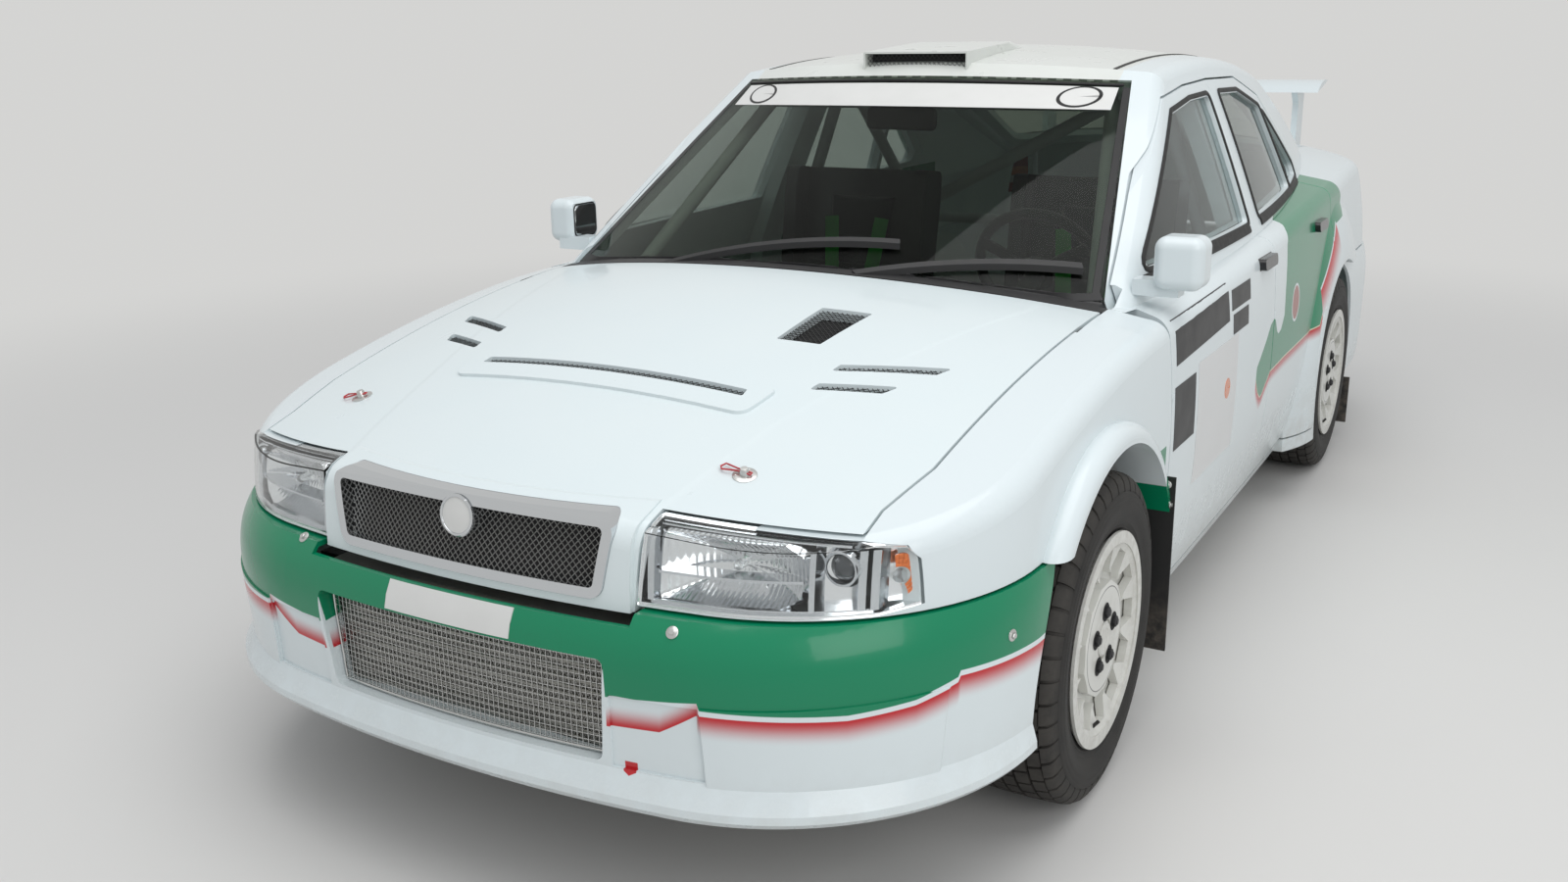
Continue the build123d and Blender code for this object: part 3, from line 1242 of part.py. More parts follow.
# Wheels: a barrel rim, a dished face with twelve windows, the hub and the brake disc
with BuildPart() as wheel_blank:
    with BuildSketch(Plane.XZ.offset(-FRONT_AXLE_Y)):
        with BuildLine():
            Polyline(*[(TRACK_HALF + x, TYRE_RADIUS + r) for x, r in RIM_SECTION], close=True)
        make_face()
        with BuildLine():
            Polyline(*[(TRACK_HALF + x, TYRE_RADIUS + r) for x, r in FACE_SECTION], close=True)
        make_face()
        with BuildLine():
            Polyline(*[(TRACK_HALF + x, TYRE_RADIUS + r) for x, r in HUB_SECTION], close=True)
        make_face()
    revolve(axis=Axis((0, FRONT_AXLE_Y, TYRE_RADIUS), (1, 0, 0)))
    with BuildSketch(Plane.YZ.offset(TRACK_HALF + 10)):
        with Locations((FRONT_AXLE_Y, TYRE_RADIUS)):
            with PolarLocations(WINDOW_PITCH, WHEEL_WINDOWS):
                Trapezoid(*WHEEL_WINDOW, WINDOW_SIDE, rotation=-90)
    extrude(amount=200, mode=Mode.SUBTRACT)
with BuildPart() as tyre_blank:
    with BuildSketch(Plane.XZ.offset(-FRONT_AXLE_Y)):
        with BuildLine():
            bead, bulge, shoulder, crown = [(x, TYRE_RADIUS + r) for x, r in TYRE_SECTION]
            left = [(TRACK_HALF - x, z) for x, z in (bead, bulge, shoulder, crown)]
            right = [(TRACK_HALF + x, z) for x, z in (bead, bulge, shoulder, crown)]
            ThreePointArc(right[0], right[1], right[2])
            Line(right[2], right[3])
            ThreePointArc(right[3], (TRACK_HALF, 2 * TYRE_RADIUS), left[3])
            Line(left[3], left[2])
            ThreePointArc(left[2], left[1], left[0])
            inner = [(TRACK_HALF + x, TYRE_RADIUS + r) for x, r in TYRE_INSIDE]
            Polyline(left[0], *inner, right[0])
        make_face()
    revolve(axis=Axis((0, FRONT_AXLE_Y, TYRE_RADIUS), (1, 0, 0)))
wheelbase_shift = Location((0, WHEELBASE, 0))
for end, shift in (("front", Location()), ("rear", wheelbase_shift)):
    for name, blank in (("wheel", wheel_blank.part), ("tyre", tyre_blank.part)):
        placed = blank.moved(shift)
        save(f"{name}_{end}_left", placed)
        save(f"{name}_{end}_right", mirror(placed, about=Plane.YZ))

# Front knuckles: upright, caliper and strut, turning about the kingpin line
knuckle_x = (KNUCKLE_INNER_X, TRACK_HALF + HUB_FACE_X - RUNNING_GAP)
caliper_slot_x = (TRACK_HALF + DISC_X[0] - 5, TRACK_HALF + DISC_X[1] + 5)
knuckle_y = (FRONT_AXLE_Y - KNUCKLE_HALF, FRONT_AXLE_Y + KNUCKLE_HALF)
upright_body = block(knuckle_x, knuckle_y, (ARM_Z[1] + KNUCKLE_LIFT, KNUCKLE_TOP))
caliper = combined(
    [
        block((knuckle_x[0] + 30, TRACK_HALF + 28), CALIPER_Y, CALIPER_Z),
        block(knuckle_x, (knuckle_y[1] - 12, CALIPER_Y[1]), CALIPER_BRACKET_Z),
    ],
    [axle_cylinder(DISC_RADIUS + 5, FRONT_AXLE_Y, *caliper_slot_x)],
)
strut_clamp = block((STRUT_FOOT[0] - 34, knuckle_x[0] + 12), knuckle_y, (STRUT_FOOT[1] - 40, KNUCKLE_TOP))
strut_foot = Vector(STRUT_FOOT[0], FRONT_AXLE_Y, STRUT_FOOT[1])
strut_line = Vector(TOWER_X, FRONT_AXLE_Y, TOWER_Z[0]) - strut_foot
with BuildPart() as strut:
    with BuildSketch(Plane(origin=strut_foot, z_dir=strut_line)):
        Circle(STRUT_RADIUS)
    extrude(amount=strut_line.length)
    with BuildSketch(Plane(origin=strut_foot + strut_line * 0.35, z_dir=strut_line)):
        Circle(SPRING_RADIUS)
    extrude(amount=strut_line.length * 0.5)
above_strut = block((0, 1000), (-2400, 0), (TOWER_Z[0] - KNUCKLE_LIFT, 900))
head_stud = kingpin_stud(STUD_RADIUS, TOWER_Z[0] - 20, TOWER_Z[0] + STUD_LENGTH)
ball_stud_room = kingpin_stud(STUD_RADIUS + SEAT_GAP, ARM_Z[1], ARM_Z[1] + KNUCKLE_LIFT + STUD_LENGTH + 1)
knuckle_body = combined([upright_body, caliper, strut_clamp, strut.part], [above_strut, ball_stud_room])
front_knuckle = combined([knuckle_body, head_stud])
save("front_knuckle_left", front_knuckle)
save("front_knuckle_right", mirror(front_knuckle, about=Plane.YZ))
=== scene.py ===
# %% [markdown]
# # A rally car's finishes, trim and cabin
#
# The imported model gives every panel, wheel and tube its true shape and place. These cells dress it:
# paint and livery, glass, lamps, mesh, tyre tread, bolts and belts. Each step says what the real
# piece is, how it could be made, and why this way was chosen.

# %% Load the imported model
import math

import bmesh
import bpy
import numpy as np
from mathutils import Matrix, Vector
from mathutils.bvhtree import BVHTree


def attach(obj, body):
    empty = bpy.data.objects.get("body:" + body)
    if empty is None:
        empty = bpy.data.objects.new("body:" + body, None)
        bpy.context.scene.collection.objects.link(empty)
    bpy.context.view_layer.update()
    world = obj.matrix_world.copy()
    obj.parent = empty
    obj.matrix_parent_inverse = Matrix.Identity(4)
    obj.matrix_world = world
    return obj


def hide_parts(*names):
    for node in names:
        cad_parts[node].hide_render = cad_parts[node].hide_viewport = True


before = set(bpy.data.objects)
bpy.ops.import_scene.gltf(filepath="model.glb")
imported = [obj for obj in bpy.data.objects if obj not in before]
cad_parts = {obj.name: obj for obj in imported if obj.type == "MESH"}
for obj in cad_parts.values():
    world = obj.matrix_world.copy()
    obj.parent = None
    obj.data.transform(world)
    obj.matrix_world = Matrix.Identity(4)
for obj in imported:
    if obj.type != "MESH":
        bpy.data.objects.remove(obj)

SIDES = {"left": 1, "right": -1}
ENDS = ("front", "rear")
CORNERS = [f"{end}_{hand}" for end in ENDS for hand in SIDES]

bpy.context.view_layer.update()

# %% [markdown]
# ## The camera
#
# The photograph looks down on the car's left front corner from about head height. A camera could be
# placed by eye, but a short sum is better: points that the photograph and the model share, such as
# wheel centres and windscreen corners, gave the place, the angles and the focal length listed below.

# %% Camera
CAMERA_PLACE = Vector((1.584, -3.835, 1.462))
CAMERA_TURN, CAMERA_DOWN, CAMERA_ROLL = [math.radians(a) for a in (30.04, 16.13, -0.8)]
FOCAL_PIXELS = 1431.7
PHOTO_WIDTH = 1600
SENSOR = 36.0

ahead = Vector((
    -math.sin(CAMERA_TURN) * math.cos(CAMERA_DOWN),
    math.cos(CAMERA_TURN) * math.cos(CAMERA_DOWN),
    -math.sin(CAMERA_DOWN),
))
level_right = Vector((math.cos(CAMERA_TURN), math.sin(CAMERA_TURN), 0))
level_up = level_right.cross(ahead)
right = level_right * math.cos(CAMERA_ROLL) + level_up * math.sin(CAMERA_ROLL)
up = level_up * math.cos(CAMERA_ROLL) - level_right * math.sin(CAMERA_ROLL)
camera_data = bpy.data.cameras.new("camera")
camera_data.sensor_width = SENSOR
camera_data.lens = FOCAL_PIXELS / PHOTO_WIDTH * SENSOR
camera = bpy.data.objects.new("camera", camera_data)
camera_axes = Matrix((right, up, -ahead)).transposed().to_4x4()
camera.matrix_world = Matrix.Translation(CAMERA_PLACE) @ camera_axes
bpy.context.collection.objects.link(camera)
bpy.context.scene.camera = camera
print("lens", round(camera_data.lens, 2), "mm")

# %% [markdown]
# ## Floor and light
#
# The car stood under a bright, overcast sky, so its light came from everywhere with no hard shadow.
# One big lamp would do it, but a pale world with two broad soft lamps keeps the light even and still
# gives each panel a bright side and a shaded side. The floor is a wide plain sheet that keeps the
# car's shadow near it and turns into the pale background further out, so no horizon shows.

# %% Background
STUDIO = (0.66, 0.66, 0.65, 1)
SKY_COLOR = (0.93, 0.96, 1.0, 1)
SKY_STRENGTH = 0.58


def shown_rays(tree):
    """1 for the rays that look at the background: from the camera, off a gloss or through glass."""
    path = tree.nodes.new("ShaderNodeLightPath")
    shown = path.outputs["Is Camera Ray"]
    for ray in ("Is Glossy Ray", "Is Transmission Ray"):
        most = tree.nodes.new("ShaderNodeMath")
        most.operation = "MAXIMUM"
        tree.links.new(shown, most.inputs[0])
        tree.links.new(path.outputs[ray], most.inputs[1])
        shown = most.outputs[0]
    return shown


def mixed_shader(tree, share, first, second):
    """Two shaders mixed, as one output."""
    mixer = tree.nodes.new("ShaderNodeMixShader")
    tree.links.new(share, mixer.inputs["Fac"])
    tree.links.new(first, mixer.inputs[1])
    tree.links.new(second, mixer.inputs[2])
    return mixer.outputs[0]


world = bpy.data.worlds.new("sky")
bpy.context.scene.world = world
world.use_nodes = True
sky = world.node_tree.nodes["Background"]
sky.inputs["Color"].default_value = SKY_COLOR
sky.inputs["Strength"].default_value = SKY_STRENGTH
backdrop = world.node_tree.nodes.new("ShaderNodeBackground")
backdrop.inputs["Color"].default_value = STUDIO
seen = mixed_shader(world.node_tree, shown_rays(world.node_tree), sky.outputs[0], backdrop.outputs[0])
world.node_tree.links.new(seen, world.node_tree.nodes["World Output"].inputs["Surface"])
print("sky", SKY_STRENGTH)

# %% Floor
FLOOR_COLOR = (0.68, 0.67, 0.65, 1)
FLOOR_ROUGHNESS = 0.9
FLOOR_HALF = 60
FLOOR_FADE = (2.2, 6.5)

floor_mesh = bpy.data.meshes.new("studio_floor")
floor_corners = [(x * FLOOR_HALF, y * FLOOR_HALF, 0) for x, y in ((-1, -1), (1, -1), (1, 1), (-1, 1))]
floor_mesh.from_pydata(floor_corners, [], [(0, 1, 2, 3)])
floor_object = bpy.data.objects.new("studio_floor", floor_mesh)
bpy.context.collection.objects.link(floor_object)
floor_finish = bpy.data.materials.new("studio_floor")
floor_finish.use_nodes = True
floor_tree = floor_finish.node_tree
floor_shader = floor_tree.nodes["Principled BSDF"]
floor_shader.inputs["Base Color"].default_value = FLOOR_COLOR
floor_shader.inputs["Roughness"].default_value = FLOOR_ROUGHNESS
far_glow = floor_tree.nodes.new("ShaderNodeEmission")
far_glow.inputs["Color"].default_value = STUDIO
distance = floor_tree.nodes.new("ShaderNodeVectorMath")
distance.operation = "LENGTH"
floor_place = floor_tree.nodes.new("ShaderNodeNewGeometry").outputs["Position"]
floor_tree.links.new(floor_place, distance.inputs[0])
fade = floor_tree.nodes.new("ShaderNodeMapRange")
fade.interpolation_type = "SMOOTHSTEP"
fade.inputs["From Min"].default_value, fade.inputs["From Max"].default_value = FLOOR_FADE
floor_tree.links.new(distance.outputs["Value"], fade.inputs["Value"])
faded = floor_tree.nodes.new("ShaderNodeMath")
faded.operation = "MULTIPLY"
floor_tree.links.new(shown_rays(floor_tree), faded.inputs[0])
floor_tree.links.new(fade.outputs[0], faded.inputs[1])
floor_surface = mixed_shader(floor_tree, faded.outputs[0], floor_shader.outputs[0], far_glow.outputs[0])
floor_tree.links.new(floor_surface, floor_tree.nodes["Material Output"].inputs["Surface"])
floor_mesh.materials.append(floor_finish)
print("floor", 2 * FLOOR_HALF, "m wide")

# %% Lamps
LAMPS = {
    "overhead": {"place": (1.0, -1.5, 6.5), "aim": (0, 0, 0.6), "size": 6.0, "watts": 225},
    "front_left": {"place": (5.5, -5.0, 3.5), "aim": (0.3, -0.8, 0.6), "size": 4.0, "watts": 110},
}


def area_lamp(name, place, aim, size, watts):
    """A square soft lamp at a place, turned to shine at a point."""
    data = bpy.data.lights.new(name, "AREA")
    data.size = size
    data.energy = watts
    lamp = bpy.data.objects.new(name, data)
    turn = (Vector(aim) - Vector(place)).to_track_quat("-Z", "Y").to_matrix().to_4x4()
    lamp.matrix_world = Matrix.Translation(place) @ turn
    bpy.context.collection.objects.link(lamp)


for lamp_name, lamp_values in LAMPS.items():
    area_lamp(lamp_name, **lamp_values)
bpy.context.scene.view_settings.view_transform = "Standard"
print("lamps", len(bpy.data.lights))

# %% [markdown]
# ## Shader helpers
#
# Each finish is a few nodes: a colour, a pattern or two laid out in the car's own metres, and a bump.
# Writing every node out by hand would hide the idea, so this small class holds one material and gives
# short calls for the nodes that the finishes share.

# %% Shader helpers
EDGE_SOFT = 0.0015


class Finish:
    """One material, with short calls for the nodes that make its pattern."""

    def __init__(self, name, color, roughness, metallic=0.0, **sockets):
        self.material = bpy.data.materials.new(name)
        self.material.use_nodes = True
        self.nodes = self.material.node_tree.nodes
        self.links = self.material.node_tree.links
        self.shader = self.nodes["Principled BSDF"]
        self.shader.inputs["Base Color"].default_value = (*color, 1)
        self.shader.inputs["Roughness"].default_value = roughness
        self.shader.inputs["Metallic"].default_value = metallic
        for socket, value in sockets.items():
            self.shader.inputs[socket.replace("_", " ")].default_value = value
        self.place = self.add("ShaderNodeTexCoord").outputs["Object"]
        split = self.add("ShaderNodeSeparateXYZ")
        self.links.new(self.place, split.inputs[0])
        self.x, self.y, self.z = split.outputs

    def add(self, kind, **settings):
        """A new node with its settings."""
        node = self.nodes.new(kind)
        for key, value in settings.items():
            setattr(node, key, value)
        return node

    def feed(self, socket, value):
        """Links a socket, or sets it to a number or colour."""
        if isinstance(value, bpy.types.NodeSocket):
            self.links.new(value, socket)
        elif hasattr(socket.default_value, "__len__") and hasattr(value, "__len__"):
            socket.default_value = (*value, 1)[: len(socket.default_value)]
        else:
            socket.default_value = value

    def math(self, operation, a, b=0.0):
        """One sum, as a socket."""
        node = self.add("ShaderNodeMath", operation=operation)
        self.feed(node.inputs[0], a)
        self.feed(node.inputs[1], b)
        return node.outputs[0]

    def outward(self):
        """The distance from the car's middle plane."""
        return self.math("ABSOLUTE", self.x)

    def distance(self, place):
        """The distance from a point of the side view, at (y, z), whose values may be sockets."""
        across = self.math("POWER", self.math("SUBTRACT", self.y, place[0]), 2)
        upward = self.math("POWER", self.math("SUBTRACT", self.z, place[1]), 2)
        return self.math("SQRT", self.math("ADD", across, upward))

    def step(self, value, edge, soft=EDGE_SOFT):
        """0 below an edge and 1 above it, with a soft width between."""
        node = self.add("ShaderNodeMapRange", interpolation_type="SMOOTHSTEP")
        self.feed(node.inputs["Value"], value)
        node.inputs["From Min"].default_value = edge - soft / 2
        node.inputs["From Max"].default_value = edge + soft / 2
        return node.outputs[0]

    def below(self, value, edge, soft=EDGE_SOFT):
        """1 below an edge and 0 above it."""
        return self.math("SUBTRACT", 1, self.step(value, edge, soft))

    def between(self, value, low, high, soft=EDGE_SOFT):
        """1 between two values and 0 outside them."""
        return self.both(self.step(value, low, soft), self.below(value, high, soft))

    def both(self, *masks):
        """Masks multiplied together."""
        product = masks[0]
        for mask in masks[1:]:
            product = self.math("MULTIPLY", product, mask)
        return product

    def box(self, beyond, y_span, z_span):
        """1 in a four-sided place on the car's sides, further out than a distance."""
        out = self.step(self.outward(), beyond)
        return self.both(out, self.between(self.y, *y_span), self.between(self.z, *z_span))

    def rising(self, value, points):
        """A height that runs through (value, height) points in straight stretches."""
        total = points[0][1]
        for (start, low), (end, high) in zip(points, points[1:]):
            if high != low:
                ramp = self.add("ShaderNodeMapRange")
                self.feed(ramp.inputs["Value"], value)
                ramp.inputs["From Min"].default_value = start
                ramp.inputs["From Max"].default_value = end
                ramp.inputs["To Max"].default_value = high - low
                total = self.math("ADD", total, ramp.outputs[0])
        return total

    def noise(self, scale, detail=4.0, roughness=0.55, stretch=None):
        """A noise pattern of about 0 to 1, with scale in waves a metre."""
        node = self.add("ShaderNodeTexNoise")
        place = self.place
        if stretch:
            mapping = self.add("ShaderNodeMapping")
            self.links.new(place, mapping.inputs["Vector"])
            mapping.inputs["Scale"].default_value = stretch
            place = mapping.outputs[0]
        self.links.new(place, node.inputs["Vector"])
        node.inputs["Scale"].default_value = scale
        node.inputs["Detail"].default_value = detail
        node.inputs["Roughness"].default_value = roughness
        return node.outputs["Fac"]

    def patches(self, scale, detail, roughness, edge, soft):
        """Soft-edged patches, from a noise pattern cut off at an edge."""
        return self.step(self.noise(scale, detail, roughness), edge, soft)

    def ribs(self, value, pitch):
        """Rounded ribs along one direction, 0 to 1, a pitch apart."""
        turn = self.math("MULTIPLY", value, 2 * math.pi / pitch)
        return self.math("MULTIPLY", self.math("ADD", self.math("SINE", turn), 1), 0.5)

    def weave(self, first, first_pitch, second, second_pitch):
        """Ribs in two directions multiplied, as in a woven or cast grid."""
        return self.both(self.ribs(first, first_pitch), self.ribs(second, second_pitch))

    def mix(self, mask, under, over):
        """One colour over another where the mask is 1."""
        node = self.add("ShaderNodeMix", data_type="RGBA")
        self.feed(node.inputs[0], mask)
        self.feed(node.inputs[6], under)
        self.feed(node.inputs[7], over)
        return node.outputs[2]

    def color(self, value):
        """The base colour, from a colour or a socket."""
        self.feed(self.shader.inputs["Base Color"], value)

    def mottle(self, first, second, scale, detail):
        """Two near shades in soft patches."""
        self.color(self.mix(self.noise(scale, detail), first, second))

    def rough(self, low, high, pattern):
        """Roughness that follows a pattern between two values."""
        node = self.add("ShaderNodeMapRange")
        self.feed(node.inputs["Value"], pattern)
        node.inputs["To Min"].default_value = low
        node.inputs["To Max"].default_value = high
        self.links.new(node.outputs[0], self.shader.inputs["Roughness"])

    def worn(self, low, high, scale, detail=4.0):
        """Roughness that varies in soft patches between two values."""
        self.rough(low, high, self.noise(scale, detail))

    def bump(self, height, distance, strength=1.0):
        """Relief from a pattern, with its depth in metres."""
        node = self.add("ShaderNodeBump")
        self.feed(node.inputs["Height"], height)
        node.inputs["Distance"].default_value = distance
        node.inputs["Strength"].default_value = strength
        self.links.new(node.outputs[0], self.shader.inputs["Normal"])

    def grain(self, scale, detail, distance, strength):
        """Relief from a noise pattern."""
        self.bump(self.noise(scale, detail), distance, strength)

    def lets_lamps_through(self, tint):
        """Glass that lamp light passes, so that what is behind it is lit."""
        tree = self.material.node_tree
        clear = self.add("ShaderNodeBsdfTransparent")
        clear.inputs["Color"].default_value = (*tint, 1)
        path = self.add("ShaderNodeLightPath")
        surface = mixed_shader(tree, path.outputs["Is Shadow Ray"], self.shader.outputs[0], clear.outputs[0])
        self.links.new(surface, self.nodes["Material Output"].inputs["Surface"])


def dress(nodes, finish):
    """Gives CAD nodes a finish."""
    for name in nodes:
        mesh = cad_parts[name].data
        mesh.materials.clear()
        mesh.materials.append(finish.material)


print("helpers ready")

# %% [markdown]
# ## Body paint
#
# The shell is glossy white enamel with a cool tint. A plain white shader would look like plastic, so
# the paint has a clear coat, a faint orange-peel ripple, and a thin film of dust low on its sides.
# The livery is painted on with masks worked out from the car's own metres, so that it lies across
# door and wing alike without unwrapping a single panel.

# %% Paint colours
WHITE = (0.70, 0.765, 0.78)
GREEN = (0.001, 0.215, 0.098)
RED = (0.52, 0.012, 0.02)
DUST = (0.30, 0.25, 0.19)
NEAR_BLACK = (0.012, 0.012, 0.013)


def enamel(name, color=WHITE):
    """Glossy paint with a clear coat."""
    return Finish(name, color, 0.3, Specular_IOR_Level=0.3, Coat_Weight=0.35, Coat_Roughness=0.06)


def dusty(paint, color, low, high, amount):
    """Adds a film of dust that thins out between two heights."""
    height = paint.below(paint.z, (low + high) / 2, high - low)
    speckle = paint.patches(22, 8, 0.7, 0.5, 0.5)
    film = paint.math("MULTIPLY", paint.both(height, speckle), amount)
    paint.color(paint.mix(film, color, DUST))
    paint.rough(0.25, 0.6, film)


print("paint ready")

# %% [markdown]
# The green flash on each side starts as a rounded hook on the front door, runs back over the rear
# door and quarter, and has a red edge below that fades away. Its outline is a top line and a bottom
# line, both heights that depend on how far back they are. Two such lines make any shape that has one
# top and one bottom, so no picture is needed.

# %% Side livery
FLASH_TOP = [
    (-0.092, 0.573), (-0.088, 0.603), (-0.03, 0.634), (0.011, 0.658), (0.061, 0.691), (0.10, 0.700),
    (0.121, 0.694), (0.150, 0.657), (0.170, 0.646), (0.205, 0.652), (0.244, 0.686), (0.250, 0.758),
    (0.277, 0.880), (0.313, 0.915), (0.424, 0.960), (1.231, 0.985), (1.282, 0.914),
]
FLASH_FOOT = [
    (-0.092, 0.573), (-0.070, 0.545), (-0.043, 0.522), (-0.015, 0.507), (0.010, 0.511), (0.038, 0.529),
    (0.098, 0.556), (0.30, 0.560), (0.664, 0.557), (0.775, 0.563), (0.803, 0.600), (0.933, 0.676),
    (1.034, 0.735), (1.062, 0.846), (1.192, 0.856), (1.282, 0.914),
]
FLASH_SPAN = (-0.090, 1.280)
SIDE_FROM = 0.60
FADE_DEPTH = 0.045
FADE_MIDDLE, FADE_WIDTH = -0.024, 0.036
FADE_END = 0.80
FADE_RED = (0.50, 0.010, 0.015)
LINE_DEPTH = 0.004
LINE_COLOR = (0.62, 0.60, 0.42)
PETAL_LINE = [(0.803, 0.665), (1.062, 0.846)]
PETAL_SPAN = (0.803, 1.062)
PETAL_RIM = 0.008
PETAL_WHITE_DEPTH = 0.16
PETAL_DEPTH = 0.10
SPOT = (0.411, 0.694)
SPOT_RADIUS = 0.049
SPOT_RIM_RADIUS = 0.056
SPOT_RED = (0.30, 0.05, 0.03)


def side_flash(paint, color):
    """Paints the flash, its petal and its spot over a colour."""
    top = paint.math("SUBTRACT", paint.rising(paint.y, FLASH_TOP), paint.z)
    foot = paint.math("SUBTRACT", paint.z, paint.rising(paint.y, FLASH_FOOT))
    along = paint.between(paint.y, *FLASH_SPAN)
    outside = paint.step(paint.outward(), SIDE_FROM)
    where = paint.both(along, outside)
    under = paint.between(foot, -FADE_DEPTH, 0)
    ahead_of_petal = paint.below(paint.y, FADE_END)
    fading = paint.both(where, under, paint.step(foot, FADE_MIDDLE, FADE_WIDTH), ahead_of_petal)
    color = paint.mix(fading, color, FADE_RED)
    line = paint.both(where, paint.between(foot, -LINE_DEPTH, 0), ahead_of_petal)
    color = paint.mix(line, color, LINE_COLOR)
    flash = paint.both(where, paint.step(top, 0), paint.step(foot, 0))
    color = paint.mix(flash, color, GREEN)
    depth = paint.math("SUBTRACT", paint.rising(paint.y, PETAL_LINE), paint.z)
    petal = paint.both(outside, paint.between(paint.y, *PETAL_SPAN))
    petal_white = paint.both(petal, paint.between(depth, -PETAL_RIM, PETAL_WHITE_DEPTH))
    color = paint.mix(petal_white, color, WHITE)
    petal_red = paint.both(petal, paint.step(depth, 0), paint.below(depth, PETAL_DEPTH / 2, PETAL_DEPTH))
    color = paint.mix(petal_red, color, RED)
    for radius, spot_color in ((SPOT_RIM_RADIUS, WHITE), (SPOT_RADIUS, SPOT_RED)):
        spot = paint.below(paint.distance(SPOT), radius)
        color = paint.mix(paint.both(outside, spot), color, spot_color)
    return color


print("flash lines", len(FLASH_TOP), len(FLASH_FOOT))

# %% [markdown]
# The bonnet has two pressed creases that spread from the grille's corners towards the windscreen.
# Each is a step of about a millimetre and a half, too small to be worth cutting into the panel, so a
# bump node raises the middle.

# %% White panels
WING_PATCH = ((-1.04, -0.952), (0.44, 0.612))
WING_PATCH_FROM = 0.81
HANDLES = [((-0.0865, 0.0665), (0.8555, 0.8885)), ((0.7235, 0.8765), (0.8555, 0.8885))]
HANDLE_FROM = 0.78

body_paint = enamel("body_enamel")
livery = side_flash(body_paint, WHITE)
livery = body_paint.mix(body_paint.box(WING_PATCH_FROM, *WING_PATCH), livery, GREEN)
for handle in HANDLES:
    livery = body_paint.mix(body_paint.box(HANDLE_FROM, *handle), livery, NEAR_BLACK)
dusty(body_paint, livery, 0.16, 0.50, 0.4)
body_paint.grain(140, 2, 0.00025, 0.25)
body_nodes = ["front_wings", "side_frames", "mirror_left", "mirror_right", "tailgate", "rear_wing"]
body_nodes += [f"{end}_door_{hand}" for end in ENDS for hand in SIDES]
dress(body_nodes, body_paint)
print("painted", len(body_nodes), "nodes")

# %% Bonnet and roof
CREASE = [(-2.10, 0.345), (-1.80, 0.405), (-1.10, 0.600)]
CREASE_WIDTH = 0.016
CREASE_RISE = 8

bonnet_paint = enamel("bonnet_enamel")
from_crease = bonnet_paint.math(
    "SUBTRACT", bonnet_paint.outward(), bonnet_paint.rising(bonnet_paint.y, CREASE)
)
raised = bonnet_paint.math("MULTIPLY", bonnet_paint.below(from_crease, 0, CREASE_WIDTH), CREASE_RISE)
bonnet_paint.bump(bonnet_paint.math("ADD", raised, bonnet_paint.noise(140, 2)), 0.00022, 0.6)
bonnet_paint.worn(0.24, 0.36, 9, 6)
bonnet_paint.mottle((0.69, 0.77, 0.785), (0.72, 0.785, 0.79), 5, 6)
dress(["bonnet"], bonnet_paint)

roof_paint = enamel("roof_enamel", (0.66, 0.68, 0.64))
roof_paint.worn(0.2, 0.4, 14, 7)
roof_paint.mottle((0.64, 0.66, 0.62), (0.71, 0.73, 0.70), 6, 6)
dress(["roof_panel", "roof_scoop"], roof_paint)
print("bonnet and roof painted")

# %% [markdown]
# ## Bumpers
#
# The bumpers are moulded plastic. The rear one is plain, and the front one is painted in bands: green
# above, a thin white line, then red that fades to white. The bands follow the bumper round its
# corner, so their height is given against a distance that grows steadily from the middle of the nose,
# round the corner and back to the wheel arch.

# %% Bumper paint
BAND_EDGE = [
    (0.291, 0.505), (0.293, 0.457), (0.475, 0.472), (0.479, 0.461), (0.790, 0.454), (0.95, 0.463),
    (1.033, 0.477), (1.060, 0.482), (1.067, 0.492), (1.326, 0.480),
]
BAND_START = 0.4775
RECESS_START = 0.294
RECESS_FOOT = [(0.308, 0.403), (0.402, 0.407), (0.475, 0.447)]
RECESS_FADE = 0.040
WHITE_LINE = 0.009
BAND_FADE = 0.044
NOSE = -2.2
FRONT_END = -1.0
ARROW_SPAN = (0.339, 0.362)
ARROW_MIDDLE = 0.3505
ARROW_FOOT, ARROW_TOP = 0.321, 0.342


def bumper_bands(paint):
    """Paints the bands, the recess's own band and a small arrow over white."""
    around = paint.math("SUBTRACT", paint.math("ADD", paint.outward(), paint.y), NOSE)
    over_edge = paint.math("SUBTRACT", paint.z, paint.rising(around, BAND_EDGE))
    over_foot = paint.math("SUBTRACT", paint.z, paint.rising(around, RECESS_FOOT))
    front_end = paint.below(paint.y, FRONT_END)
    band = paint.both(
        front_end,
        paint.step(around, BAND_START),
        paint.step(over_edge, -WHITE_LINE - BAND_FADE / 2, BAND_FADE),
        paint.below(over_edge, -WHITE_LINE),
    )
    recess = paint.both(
        front_end,
        paint.between(around, RECESS_START, BAND_START),
        paint.step(over_foot, 0),
        paint.below(over_foot, RECESS_FADE / 2, RECESS_FADE),
    )
    green = paint.both(front_end, paint.step(over_edge, 0))
    lean = paint.math("MULTIPLY", paint.math("ABSOLUTE", paint.math("SUBTRACT", paint.x, ARROW_MIDDLE)), -0.5)
    arrow = paint.both(
        front_end,
        paint.between(paint.x, *ARROW_SPAN),
        paint.step(paint.math("ADD", paint.z, lean), ARROW_FOOT),
        paint.below(paint.z, ARROW_TOP),
    )
    color = WHITE
    for mask, over in ((band, RED), (recess, RED), (green, GREEN), (arrow, RED)):
        color = paint.mix(mask, color, over)
    return color


bumper_paint = enamel("bumper_enamel")
dusty(bumper_paint, bumper_bands(bumper_paint), 0.15, 0.40, 0.35)
bumper_paint.grain(90, 3, 0.0004, 0.3)
dress(["front_bumper", "rear_bumper"], bumper_paint)
print("bumpers painted")

